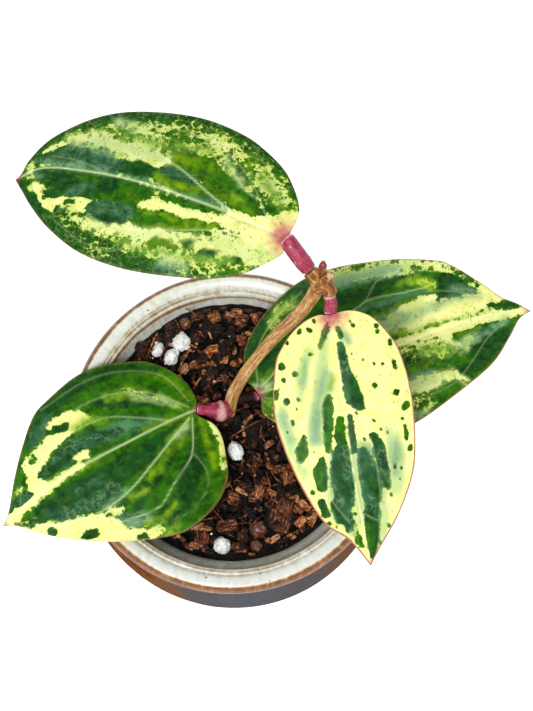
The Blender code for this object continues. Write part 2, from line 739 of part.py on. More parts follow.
def petiole(name, piece, finish, parent):
    """A stalk whose level end stops at its leaf's base."""
    leaf = LEAVES[piece["leaf"]]
    angle = math.radians(leaf["heading"] + leaf["arrive"])
    forward = Vector((math.cos(angle), math.sin(angle), 0.0))
    end = Vector(leaf["base"]) - Vector((0.0, 0.0, PETIOLE_DROP))
    path = [*piece["path"], end - forward * PETIOLE_LEVEL, end]
    radii = [*piece["radii"], piece["radii"][-1]]
    shape = tube_shape(path, radii, PETIOLE_SIDES)
    obj = add_object(name, mesh_from(name, shape), finish, 60.0, parent)
    if piece["clasped"]:
        combine(obj, "DIFFERENCE", [stem_cutter(finish)])
        shade(obj.data, 60.0)


def main():
    for obj in list(bpy.data.objects):
        bpy.data.objects.remove(obj)
    plant = bpy.data.objects.new("potted_hoya", None)
    bpy.context.scene.collection.objects.link(plant)
    finishes = {name: material(name) for name in COLOURS}
    pot(finishes["glaze"], plant)
    perlite_pits = grains("perlite", PERLITE, PERLITE_LUMPS, finishes["perlite"], plant)
    clay_pits = grains("clay_ball", CLAY_BALLS, CLAY_LUMPS, finishes["clay"], plant)
    potting_mix(finishes["bark"], [*perlite_pits, *clay_pits], plant)
    stem(finishes["wood"], plant)
    bud = tube_shape(BUD_PATH, BUD_RADII, BUD_SIDES)
    add_object("bud", mesh_from("bud", bud), finishes["bud"], 60.0, plant)
    for name, piece in PETIOLES.items():
        petiole(name, piece, finishes["petiole"], plant)
    for name, leaf in LEAVES.items():
        leaf_blade(name, leaf, finishes["pale_leaf" if name == "leaf_c" else "leaf"], plant)


main()
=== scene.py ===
"""Looks of the potted hoya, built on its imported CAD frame.

Sizes are millimetres, and MM turns them into Blender's metres.
The pot's foot is centred on the origin, +Z is up, and the plant's front faces -Y.
"""

import itertools
import math
import random

import bmesh
import bpy
import numpy as np
from mathutils import Euler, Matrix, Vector, noise


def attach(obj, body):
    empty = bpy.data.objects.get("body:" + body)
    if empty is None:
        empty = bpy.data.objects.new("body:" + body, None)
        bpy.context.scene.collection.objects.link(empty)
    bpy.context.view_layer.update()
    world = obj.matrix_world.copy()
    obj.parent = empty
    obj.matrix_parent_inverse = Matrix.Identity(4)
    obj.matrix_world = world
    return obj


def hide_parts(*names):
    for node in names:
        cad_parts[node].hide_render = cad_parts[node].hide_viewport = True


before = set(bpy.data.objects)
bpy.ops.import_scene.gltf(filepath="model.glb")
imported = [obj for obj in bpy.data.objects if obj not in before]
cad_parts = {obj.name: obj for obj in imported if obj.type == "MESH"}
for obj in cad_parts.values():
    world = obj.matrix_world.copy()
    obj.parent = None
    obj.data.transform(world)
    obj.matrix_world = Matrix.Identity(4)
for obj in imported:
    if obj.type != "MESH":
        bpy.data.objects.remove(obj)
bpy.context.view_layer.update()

MM = 0.001

# Camera
CAMERA_PLACE = (11.7, -107.86, 621.66)
CAMERA_TILT = 14.0
SENSOR_HEIGHT = 24.0
LENS = 54.58
CLIP_END = 20000.0

# Light
WORLD_COLOUR = (0.95, 0.97, 1.0)
WORLD_STRENGTH = 0.66
KEY_PLACE = (-160.0, -420.0, 900.0)
KEY_TARGET = (0.0, 0.0, 90.0)
KEY_SIZE = 420.0
KEY_POWER = 6.2
FLOOR_SIZE = 6000.0
FLOOR_COLOUR = (0.98, 0.98, 0.98)
FLOOR_GLOW = 0.55
FLOOR_ROUGHNESS = 0.9

# Gap kept between two pieces that touch
CLEARANCE = 0.3
# Keeps the noise's whole numbers to 32 bits
HASH_MASK = 0xFFFFFFFF

# Pot
RIM_RADIUS = 55.2
RIM_HEIGHT = 88.0
FLOOR_HEIGHT = 6.0
DRAIN_COUNT = 3
DRAIN_RADIUS = 4.0
DRAIN_CIRCLE = 17.0
DRAIN_SIDES = 48
POT_SHARP_DEGREES = 55.0
POT_SEGMENTS = 224
POT_STEP = 1.3
# Within this distance of the lip's crest the profile has this many times as many points.
LIP_ZONE = 12.0
LIP_DENSITY = 4.0
THROWING_RINGS = 0.12
POT_UNEVEN = 0.12

# Inner wall from the edge of the floor up to the lip's inner edge, as radius and height
POT_INSIDE = [
    (30.0, 6.0), (37.0, 8.5), (43.0, 15.0), (48.0, 28.0), (49.8, 44.0), (47.5, 57.0), (44.6, 66.0),
    (42.9, 71.0), (43.2, 74.5), (44.5, 77.5), (45.9, 80.5), (46.8, 83.5), (47.2, 85.6),
]
# Stepped lip from its inner edge over the crest, as distance in from the rim and down from the top
POT_LIP = [
    (7.4, 1.7), (6.7, 1.4), (6.1, 1.9), (5.6, 1.3), (4.6, 0.6), (3.2, 0.1), (2.1, 0.0), (1.1, 0.5),
    (0.4, 1.4), (0.0, 2.8), (0.2, 4.0), (0.9, 4.9),
]
# Outer wall from the neck under the lip down to the foot
POT_OUTSIDE = [
    (53.6, 82.2), (53.6, 80.6), (54.2, 76.0), (54.9, 68.0), (55.6, 56.0), (55.8, 44.0),
    (55.0, 32.0), (52.6, 20.0), (48.6, 10.0), (44.2, 3.8), (41.0, 1.0), (38.5, 0.0),
]
# How rusty the glaze breaks along the profile, as distance from the lip's crest and amount.
# The distance is negative inwards.
GLAZE_BREAKS = [
    (-60.0, 0.06), (-14.0, 0.08), (-9.4, 0.1), (-8.3, 0.42), (-7.5, 0.3), (-6.6, 0.1), (-5.9, 0.12),
    (-5.4, 0.4), (-4.9, 0.06), (-4.5, 0.1), (-4.0, 0.2), (-3.4, 0.1), (-2.9, 0.03), (0.1, 0.02),
    (0.5, 0.36), (0.9, 0.6), (2.4, 0.66), (4.2, 0.82), (6.2, 0.8), (7.0, 0.4), (7.6, 0.12), (8.2, 0.3),
    (10.0, 0.3),
]
# Where the body's own colour takes over from the lip's, as distance from the crest and as height
BODY_START = (7.4, 9.4)
BODY_HEIGHT = 84.6
# The foot: it lies past this distance from the crest, turns bare between two heights, has the body's
# glaze under the third and is flat under the last.
FOOT_RUN = 50.0
BARE_FOOT = (1.2, 0.4)
FOOT_BAND = 1.0
FOOT_FACE = 0.2
# How brown the body is, as the angle round the pot in degrees and amount. The front is 270.
BODY_BROWN = [
    (0, 0.5), (60, 0.4), (120, 0.55), (180, 0.6), (220, 0.9), (235, 0.95), (250, 0.5), (270, 0.08),
    (290, 0.2), (316, 0.7), (330, 0.6), (360, 0.5),
]
# Glaze colours: from clean to rusty on the lip, and from grey to brown on the body
LIP_GLAZE = [
    (0.0, (228, 228, 220)), (0.1, (212, 211, 200)), (0.24, (180, 170, 148)), (0.38, (168, 128, 76)),
    (0.56, (134, 82, 26)), (0.76, (104, 60, 16)), (1.0, (62, 36, 14)),
]
BODY_GLAZE = [
    (0.0, (82, 84, 89)), (0.35, (82, 78, 80)), (0.6, (104, 78, 60)), (0.85, (116, 72, 40)),
    (1.0, (96, 56, 28)),
]
BODY_BLOTCH = (104, 104, 106)
GLAZE_SPECK = (60, 44, 32)
BARE_CLAY = (176, 150, 122)

# Potting mix
SOIL_HEIGHT = 76.8
SOIL_SLOPE = 0.075
SOIL_SEGMENTS = 180
SOIL_RINGS = 90
SOIL_SUNK = 0.9
# Rounds that find where the sloping surface meets the wall
EDGE_ROUNDS = 6
# The bed's step up the wall, its lumps and how far they may stand over the surface
BED_STEP = 1.6
BED_LUMPS = 1.1
BED_TOP = 0.6
# Bark colours from dark to light, of the brown and the rusty chips
BROWN_BARK = [
    (0.0, (2, 1, 1)), (0.3, (12, 6, 3)), (0.48, (48, 23, 11)), (0.7, (112, 60, 31)),
    (1.0, (226, 164, 120)),
]
ORANGE_BARK = [
    (0.0, (3, 1, 1)), (0.3, (22, 8, 2)), (0.48, (92, 38, 8)), (0.7, (182, 86, 22)),
    (1.0, (250, 184, 108)),
]
# Colour of the painted glints, small highlights laid into the bark's colour
BARK_GLINT = (250, 214, 186)

# The large bark chips, as x, y, length, width, turn in degrees, and how light their bark is
LARGE_CHIPS = [
    (-7.3, 40.5, 8.0, 5.0, 15.0, 0.62),
    (2.0, 40.2, 9.0, 5.6, -20.0, 0.55),
    (-7.2, 36.2, 8.5, 4.6, 5.0, 0.25),
    (-21.8, 34.2, 6.5, 5.5, 35.0, 0.3),
    (-8.5, 20.4, 8.6, 7.6, 70.0, 0.3),
    (-2.7, 27.4, 8.0, 4.2, 80.0, 0.85),
    (16.3, -27.5, 13.4, 11.4, 80.0, 0.5),
    (8.8, -19.5, 7.0, 4.6, 65.0, 0.68),
    (0.1, -21.8, 6.0, 5.4, 150.0, 0.6),
    (-1.5, -31.0, 8.6, 5.4, 10.0, 0.5),
    (-10.2, -35.0, 7.0, 6.0, 100.0, 0.55),
    (8.6, 1.2, 11.0, 8.6, 20.0, 0.22),
    (16.9, -11.6, 6.4, 4.2, 10.0, 0.55),
    (24.6, -24.4, 5.4, 3.8, 140.0, 0.8),
]
LARGE_CHIP_DEPTH = 3.6
CHIP_COUNT = 54
CHIP_LENGTH = (4.0, 7.5)
CHIP_WIDTH_SHARE = (0.45, 0.8)
CHIP_DEPTH_SHARE = (0.35, 0.55)
CHIP_CORNER = (0.7, 1.0)
CHIP_TILT = 0.4
CHIP_RAISED = 0.12
CHIP_ROOM = 0.3
CHIP_SEED = 7
CHIP_TONES = (0.14, 0.22, 0.3, 0.42)
# Cuts across each side of a piece of bark, from the large chips down to the crumbs
LARGE_CHIP_CUTS = 13
CHIP_CUTS = 6
SCRAP_CUTS = 3
CRUMB_CUTS = 1
# Finer bark between the chips, as count, lengths, width shares, depth shares and height
SCRAPS = (860, (2.0, 6.8), (0.28, 0.7), (0.2, 0.45), (-0.5, 1.5))
CRUMBS = (600, (0.7, 1.8), (0.5, 1.0), (0.4, 0.9), (0.0, 1.7))
SCRAP_TONES = (0.06, 0.1, 0.16, 0.22, 0.3, 0.42, 0.6, 0.84)
SCRAP_TILT = 0.9
# Scraps that lie along the pot's wall
WALL_SCRAPS = 140
WALL_SCRAP_TONES = (0.3, 0.45, 0.6, 0.75, 0.9)
WALL_SCRAP_TILT = 0.35
# Fragments that stand out, as x, y, length, width, depth, turn in degrees, height, and how light and
# how rusty they are. FRAGMENT_TONE dims them all.
FRAGMENTS = [
    (-7.1, 28.5, 6.4, 5.0, 3.0, 20.0, 1.6, 0.98, 1.0),
    (-9.8, 21.0, 2.6, 1.6, 1.2, 70.0, 2.8, 1.1, 1.0),
    (-13.7, 23.8, 3.8, 2.6, 1.8, 40.0, 1.6, 0.9, 0.3),
    (-2.7, 19.5, 3.4, 2.4, 1.6, 120.0, 1.5, 0.78, 0.2),
    (-5.4, 12.6, 4.0, 2.8, 2.0, 30.0, 1.4, 0.6, 0.5),
    (-31.3, 29.9, 5.6, 4.8, 2.6, 10.0, 1.2, 0.5, 0.2),
    (13.2, -3.3, 2.8, 1.8, 1.4, 50.0, 1.6, 0.85, 0.5),
    (12.5, -36.2, 2.6, 1.8, 1.4, 10.0, 1.6, 0.85, 0.5),
    (17.9, -14.1, 4.6, 3.0, 2.0, 30.0, 1.5, 0.55, 0.5),
    (27.3, -29.8, 4.4, 3.0, 2.0, 60.0, 1.2, 0.8, 0.9),
    (2.5, -38.1, 5.0, 2.6, 2.0, 20.0, 1.2, 0.3, 0.2),
    (-1.6, 4.2, 4.6, 2.6, 2.6, 15.0, 1.4, 0.34, 0.4),
    (1.8, 4.8, 4.0, 2.8, 2.4, 100.0, 1.3, 0.24, 0.3),
    (-4.8, 4.6, 3.8, 2.6, 2.2, 60.0, 1.3, 0.42, 0.5),
    (3.4, 8.0, 3.6, 2.4, 2.2, 130.0, 1.4, 0.3, 0.3),
    (-5.2, -13.0, 4.4, 2.6, 2.0, 75.0, 1.4, 0.5, 0.4),
    (6.5, -12.4, 4.8, 3.2, 2.2, 15.0, 1.3, 0.36, 0.2),
    (-12.5, -30.0, 5.2, 3.0, 2.0, 35.0, 1.3, 0.42, 0.3),
    (-25.0, 33.4, 5.0, 3.0, 2.2, 38.0, 1.2, 0.6, 0.3),
    (-21.6, 37.4, 4.6, 2.8, 2.0, 30.0, 1.2, 0.5, 0.4),
    (-33.6, 24.6, 4.4, 2.6, 2.0, 58.0, 1.2, 0.5, 0.3),
    (-12.6, 40.6, 4.8, 2.8, 2.0, 10.0, 1.4, 0.62, 0.4),
    (7.2, 36.0, 4.6, 3.0, 2.0, 160.0, 1.4, 0.5, 0.4),
    (-18.0, 35.0, 4.2, 2.6, 2.0, 120.0, 1.4, 0.46, 0.2),
    (3.4, 33.2, 4.0, 2.6, 2.0, 40.0, 1.4, 0.6, 0.5),
    (-13.6, 33.4, 4.4, 2.8, 2.0, 80.0, 1.4, 0.4, 0.4),
]
FRAGMENT_TONE = 0.75
# White crumbs of perlite, as x, y and radius
WHITE_BITS = [
    (-6.2, 18.1, 0.55), (-26.5, 31.4, 0.8), (-23.2, 24.2, 0.5), (-15.0, 30.0, 0.4), (3.0, -8.4, 0.4),
    (-7.0, -34.0, 0.45), (14.0, 2.6, 0.35), (-1.2, 33.8, 0.4), (9.6, -25.2, 0.4), (-27.5, 26.2, 0.4),
]
BIT_HEIGHT = 1.5
FIBRE_COUNT = 130
# Fibres that show, as the x and y of their two ends and the height of their middle
LONG_FIBRES = [
    (-4.4, 3.0, 4.2, 9.6, 4.2), (-1.2, -1.4, 12.0, 6.0, 3.4), (5.2, -9.6, 8.0, -14.4, 2.2),
    (-7.0, -25.2, -1.8, -31.4, 2.4), (-10.6, -29.4, -5.0, -28.4, 2.2), (6.4, -31.2, 10.0, -27.8, 2.6),
    (11.6, -13.0, 13.4, -21.4, 2.6), (12.6, -18.0, 16.2, -17.2, 2.4), (0.4, -16.4, 3.6, -14.0, 2.2),
    (-27.0, 33.6, -27.8, 30.8, 4.6), (-25.6, 30.2, -30.8, 26.0, 3.4), (-15.6, 28.2, -18.2, 25.0, 4.2),
    (-17.4, 44.0, -12.0, 40.4, 3.4),
]
# Sticks among the perlite, as x, y, end x, end y, rise, half thickness, tone and orange share
STICKS = [
    (-21.2, 33.9, -25.2, 25.4, 3.6, 0.42, 0.42, 0.2), (-26.0, 35.2, -29.6, 27.0, 3.0, 0.36, 0.62, 0.7),
    (-20.2, 39.8, -18.4, 36.4, 3.0, 0.3, 0.55, 0.5), (-14.8, 29.5, -19.1, 21.6, 2.6, 0.38, 0.66, 0.6),
    (-14.6, 31.0, -11.4, 28.4, 2.6, 0.34, 0.74, 0.8), (-8.8, 35.8, -7.4, 32.8, 2.8, 0.4, 0.9, 0.5),
    (-10.4, 20.4, -13.8, 15.2, 2.6, 0.36, 0.66, 0.8),
]
FIBRE_LENGTH = (3.0, 10.0)
FIBRE_RADIUS = (0.1, 0.26)
FIBRE_LIFT = 2.1
BARK_SEED = 31

# Loose grains, as x, y and radius
PERLITE = [
    (-18.0, 32.0, 2.9), (-26.0, 29.2, 2.2), (-21.2, 26.8, 2.5), (1.2, -5.7, 2.8), (-3.6, -37.6, 2.8),
]
CLAY_BALLS = [(8.9, -32.4, 2.8), (8.2, -37.9, 2.1), (-16.4, 38.6, 2.1)]
GRAINS = [*PERLITE, *CLAY_BALLS]
GRAIN_SUNK = 0.35
BALL_SPLITS = 5
# How far each perlite grain is drawn out in its own directions, and its turn in degrees
PERLITE_FORMS = [
    (1.0, 1.08, 1.0, 20), (0.84, 1.3, 1.0, -25), (1.24, 0.9, 1.0, 60), (0.86, 1.2, 1.0, 15),
    (0.98, 1.04, 1.0, 80),
]
CLAY_FORMS = [(1.0, 1.0, 1.0, 0)] * 3
PERLITE_LUMPS = 0.22
CLAY_LUMPS = 0.06
PERLITE_WHITE = [(0.25, (206, 208, 208)), (0.5, (238, 238, 236)), (0.8, (252, 252, 250))]
PERLITE_PORE = (138, 128, 116)
PERLITE_DIRT = (112, 84, 62)
CLAY_BROWN = [(0.34, (24, 9, 4)), (0.5, (96, 44, 20)), (0.68, (180, 112, 74))]
# Pale colour of the clay balls' painted highlights
CLAY_PAINTED_HIGHLIGHT = (228, 172, 146)
CLAY_DARK = (30, 12, 8)
# Bare ground round the stem's foot, as x, y and radius
STEM_GROUND = (-1.6, 8.6, 6.5)

# Stem, from its foot in the mix to the top node
STEM_PATH = [
    (-3.8, -2.0, 60.0), (-2.4, 2.4, 69.5), (-1.1, 7.2, 77.8), (0.3, 12.3, 84.6), (4.2, 17.4, 91.8),
    (9.0, 22.3, 99.0), (14.8, 27.1, 106.8), (21.1, 31.0, 115.5), (26.0, 34.8, 124.3),
    (28.6, 38.4, 131.5),
]
STEM_RADII = (2.3, 2.2, 2.0, 2.1, 2.45)
STEM_SIDES = 56
STEM_STEPS = 300
NODE_RADIUS = 3.3
STALK_PATH = [STEM_PATH[-1], (30.4, 38.2, 134.8), (31.7, 38.5, 137.6)]
STALK_RADII = (2.3, 1.7, 1.6)
STALK_STEPS = 50
COLLAR_RADIUS = 2.4
COLLAR_LENGTH = 2.0
COLLAR_STEPS = 40
ARM_SIDES = 40
BUD_COLLAR_RADIUS = 1.5
BUD_PATH = [(29.3, 41.7, 136.0), (29.4, 42.1, 137.0), (29.5, 42.6, 138.0), (29.5, 43.0, 138.8)]
BUD_RADII = (1.2, 1.2, 0.8, 0.3)
BUD_SIDES = 36
BUD_STEPS = 40
PETIOLE_DROP = 0.9
PETIOLE_LEVEL = 1.2
PETIOLE_SIDES = 48
PETIOLE_STEPS = 90
# Wood colours from dark to light, and what lies over them
STEM_BARK = [(0.3, (82, 46, 18)), (0.41, (148, 98, 48)), (0.51, (200, 148, 88)), (0.64, (246, 208, 154))]
NODE_BARK = [(0.3, (60, 28, 10)), (0.42, (126, 72, 28)), (0.53, (176, 116, 54)), (0.66, (226, 182, 122))]
CUT_FACE = [(0.35, (222, 190, 110)), (0.6, (246, 236, 200))]
STEM_BLOT = (140, 92, 52)
LENTICEL = (104, 62, 32)
# The same for the stalks and the bud
STALK_PINK = [
    (0.28, (112, 26, 52)), (0.42, (148, 44, 72)), (0.56, (174, 68, 92)), (0.72, (206, 118, 130)),
]
STALK_SPECK = (216, 150, 158)
STALK_DEEP = (138, 14, 60)
# Pale colour of the callus, and of the painted highlight band
STALK_CALLUS_AND_HIGHLIGHT = (240, 206, 196)
# Painted shade on the stalks' lower sides
STALK_UNDERSIDE_SHADE = (92, 16, 38)
STALK_SHEATH = (104, 58, 34)
# Near-black colour of the painted shadow on a shaded stalk
STALK_SHADE = (20, 20, 9)
BUD_RED = [(0.25, (84, 22, 24)), (0.5, (132, 44, 46)), (0.75, (206, 138, 128))]

# Leaf blades
LEAF_ROWS = 210
LEAF_HALF_COLUMNS = 54
BASE_HALF_WIDTH = 2.5
MIDRIB_GATHER = 1.5
MARGIN_GATHER = 1.15
ROW_BOW = 0.65
BLADE_THICKNESS = 1.5
MARGIN_THICKNESS = 0.9
MARGIN_TAPER = 6.0
MIDRIB_GROOVE = 0.45
MIDRIB_RIDGE = 0.9
MIDRIB_WIDTH = 1.8
GROOVE_FADE = 1.0 / 6.0
WAVE_REACH = 30.0
VEIN_DEPTH = 0.12
PUCKER = 0.1
WELD_DISTANCE = 0.01
# Leaf cells of two sizes
LARGE_CELL = 2.3
SMALL_CELL = 1.05
# What changes a patch's green: clouds, streaks, grain and the net between the cells
GREEN_DARKER = (142, 172, 160)
GREEN_LIGHTER = (150, 190, 30)
GREEN_GRAIN = (140, 174, 60)
GREEN_NET = (186, 210, 136)
# What changes a patch's cream
CREAM_WARMER = (250, 248, 214)
CREAM_GRAIN = (206, 220, 110)
CREAM_GREENER = (192, 214, 66)
CREAM_CLOUD = (190, 212, 96)
CREAM_FRECKLE = (128, 158, 26)
CREAM_DOT = (88, 130, 16)
# What lies over both
CELL_BORDER = (152, 188, 24)
VEIN_ON_CREAM = (250, 250, 196)
VEIN_ON_GREEN = (186, 212, 146)
LEAF_BLUSH = (184, 52, 92)
LEAF_MARGIN = (176, 112, 88)
LEAF_BACK = (150, 168, 104)

# Each leaf's frame, outline and rise are those of the CAD leaf.
LEAVES = {
    "leaf_a": {
        "base": (17.5, 49.8, 141.0),
        "heading": 165.0,
        "arrive": -34.0,
        "left": [(-0.6, 4.6), (3.9, 9.5), (9.1, 14.0), (14.9, 17.0), (23.3, 19.8), (37.2, 22.1),
                 (50.5, 22.1), (62.7, 20.0), (73.5, 14.6), (81.4, 8.4), (87.2, 2.6), (89.8, 0.0)],
        "right": [(-2.1, -8.2), (-1.2, -12.3), (2.1, -17.8), (6.7, -23.0), (13.6, -27.5),
                  (21.2, -30.6), (35.4, -32.8), (48.9, -32.2), (61.8, -29.0), (73.0, -23.3),
                  (82.7, -15.4), (87.3, -7.2), (88.4, -2.4), (89.8, 0.0)],
        "midrib": [(10.1, -1.7), (28.4, -3.4), (48.5, -5.4), (67.7, -6.0), (82.0, -5.0), (89.8, 0.0)],
        "rise": [(-12.0, -0.4), (0.0, 0.0), (25.0, 2.3), (50.0, 1.5), (72.0, -3.6), (90.0, -11.0)],
        "cup": -0.005,
        "waves": (3.0, 0.7, 0.4),
    },
    "leaf_b": {
        "base": (-11.9, 7.2, 85.0),
        "heading": -147.7,
        "arrive": -36.5,
        "left": [(-2.0, 7.0), (-2.1, 12.7), (0.7, 20.2), (3.3, 25.3), (7.4, 29.2), (13.6, 32.5),
                 (22.0, 34.2), (28.8, 33.4), (42.4, 27.4), (54.9, 19.4), (65.1, 10.1),
                 (71.0, 3.0), (75.5, 0.0)],
        "right": [(-1.9, -5.3), (-1.7, -10.5), (0.7, -16.4), (4.2, -21.3), (8.7, -24.7),
                  (20.3, -29.0), (30.0, -30.0), (40.8, -28.1), (48.0, -25.6), (57.2, -17.9),
                  (64.5, -10.7), (71.5, -2.8), (75.5, 0.0)],
        "midrib": [(9.9, -1.1), (24.3, -0.9), (46.2, -1.9), (60.0, -1.7), (75.5, 0.0)],
        "rise": [(-12.0, -0.6), (0.0, 0.0), (15.0, 4.0), (30.0, 7.0), (45.0, 8.0), (60.0, 6.8),
                 (78.0, 2.6)],
        "cup": 0.0,
        "waves": (2.6, 0.8, 1.9),
    },
    "leaf_c": {
        "base": (32.3, 29.1, 128.0),
        "heading": -80.3,
        "arrive": 4.7,
        "left": [(0.0, 6.0), (1.3, 9.9), (4.1, 13.6), (9.4, 17.0), (15.5, 19.4), (28.6, 20.9),
                 (44.9, 19.4), (54.0, 16.8), (64.4, 10.7), (73.0, 3.6), (77.7, 0.0)],
        "right": [(-0.2, -4.3), (1.0, -8.7), (3.8, -13.4), (8.5, -17.8), (13.7, -20.6),
                  (27.0, -23.2), (39.5, -21.8), (51.3, -18.3), (62.8, -12.9), (68.4, -6.4),
                  (73.0, -2.9), (77.7, 0.0)],
        "midrib": [(12.6, -0.5), (33.4, -1.2), (53.7, -0.8), (69.0, -0.7), (77.7, 0.0)],
        "rise": [(-8.0, 0.2), (0.0, 0.0), (20.0, -2.2), (40.0, -8.0), (60.0, -17.0), (78.0, -29.3)],
        "cup": -0.004,
        "waves": (3.4, 0.6, 2.6),
    },
    "leaf_d": {
        "base": (8.5, 12.8, 83.5),
        "heading": 16.3,
        "arrive": 13.4,
        "left": [(-2.2, 6.0), (-1.3, 11.6), (-0.2, 15.0), (2.4, 18.9), (6.7, 23.0), (12.9, 27.1),
                 (24.0, 31.4), (36.0, 32.3), (46.0, 31.4), (56.7, 29.4), (66.8, 26.2), (74.5, 22.8),
                 (83.5, 13.8), (88.6, 7.4), (93.2, 3.8), (97.1, 0.0)],
        "right": [(0.0, -6.7), (3.1, -11.4), (12.0, -19.4), (24.0, -25.2), (36.0, -27.6),
                  (48.1, -26.4), (65.0, -20.5), (78.5, -14.2), (87.0, -7.0), (92.5, -1.6),
                  (97.1, 0.0)],
        "midrib": [(10.0, 0.6), (30.0, 0.2), (49.1, 0.8), (75.3, 1.8), (90.3, 2.0), (97.1, 0.0)],
        "rise": [(-12.0, -0.3), (0.0, 0.0), (15.0, 4.3), (30.0, 7.6), (48.0, 10.1), (70.0, 10.4),
                 (98.0, 8.0)],
        "cup": 0.0028,
        "waves": (3.0, 0.8, 0.9),
    },
}

# Each petiole's path starts at the stem, and its end follows from its leaf's base. Its painted highlight
# is a pale band between two distances along it, with its strength, and the callus is the pale ring at
# its leaf.
PETIOLES = {
    "petiole_a": {"leaf": "leaf_a", "radii": (2.3, 2.7, 2.7, 2.7),
                  "path": [(25.2, 41.0, 135.6), (22.2, 44.2, 138.1), (19.7, 47.2, 139.6)],
                  "highlight_streak": (0.2, 0.6, 0.5), "callus": 0.5, "depth": 0.3, "sheath": 0.9, "shade": 0.0},
    "petiole_b": {"leaf": "leaf_b", "radii": (3.2, 3.7, 2.8, 1.9),
                  "path": [(-1.6, 8.0, 81.6), (-4.0, 7.1, 82.5), (-7.2, 7.1, 83.4)],
                  "highlight_streak": (2.2, 4.0, 0.5), "callus": 0.95, "depth": 0.85, "sheath": 0.0, "shade": 0.0},
    "petiole_c": {"leaf": "leaf_c", "radii": (2.0, 2.0, 2.1),
                  "path": [(31.5, 34.3, 131.2), (32.0, 32.0, 129.4)],
                  "highlight_streak": (0.0, 0.6, 0.85), "callus": 0.8, "depth": 0.1, "sheath": 0.0, "shade": 0.0},
    # petiole_d lies in shade: its shade darkens it almost to black, as painted shadow.
    "petiole_d": {"leaf": "leaf_d", "radii": (2.1, 2.1, 2.0),
                  "path": [(0.4, 10.8, 81.2), (4.4, 12.0, 82.0)],
                  "highlight_streak": (0.0, 0.5, 0.0), "callus": 0.4, "depth": 0.3, "sheath": 0.0, "shade": 0.97},
}

# The greens and creams of the leaves: screen colour, share of the cells that are green, how much the
# pale net between the cells shows, and how soft a patch's edge is. A kind without a share is a wash
# that leaves the cells as they are.
LEAF_KINDS = {
    "cream": ((247, 244, 160), 0.0, 0.0, 1.8),
    "creamy": ((244, 243, 158), 0.24, 0.0, 2.2),
    "pale": ((190, 212, 144), None, 0.0, 1.8),
    "haze": ((180, 204, 142), None, 0.0, 2.2),
    "moss": ((118, 160, 62), None, 0.0, 1.6),
    "silver": ((126, 166, 126), None, 0.0, 2.0),
    "sea": ((84, 136, 92), None, 0.0, 1.4),
    "lime": ((144, 182, 40), None, 0.0, 1.5),
    "speckled": ((80, 132, 6), 0.5, 0.0, 1.4),
    "dots": ((58, 114, 2), 0.54, 0.0, 1.4),
    "mosaic": ((48, 106, 2), 0.68, 0.3, 1.4),
    "dense": ((30, 90, 12), 0.86, 0.4, 1.4),
    "deep": ((24, 82, 24), 1.0, 0.0, 0.8),
    "green": ((48, 112, 4), 1.0, 0.0, 0.8),
    "bright": ((96, 142, 0), 1.0, 0.0, 1.2),
    "olive": ((126, 164, 4), 1.0, 0.0, 1.0),
    "blue": ((44, 98, 60), 1.0, 0.3, 0.9),
}

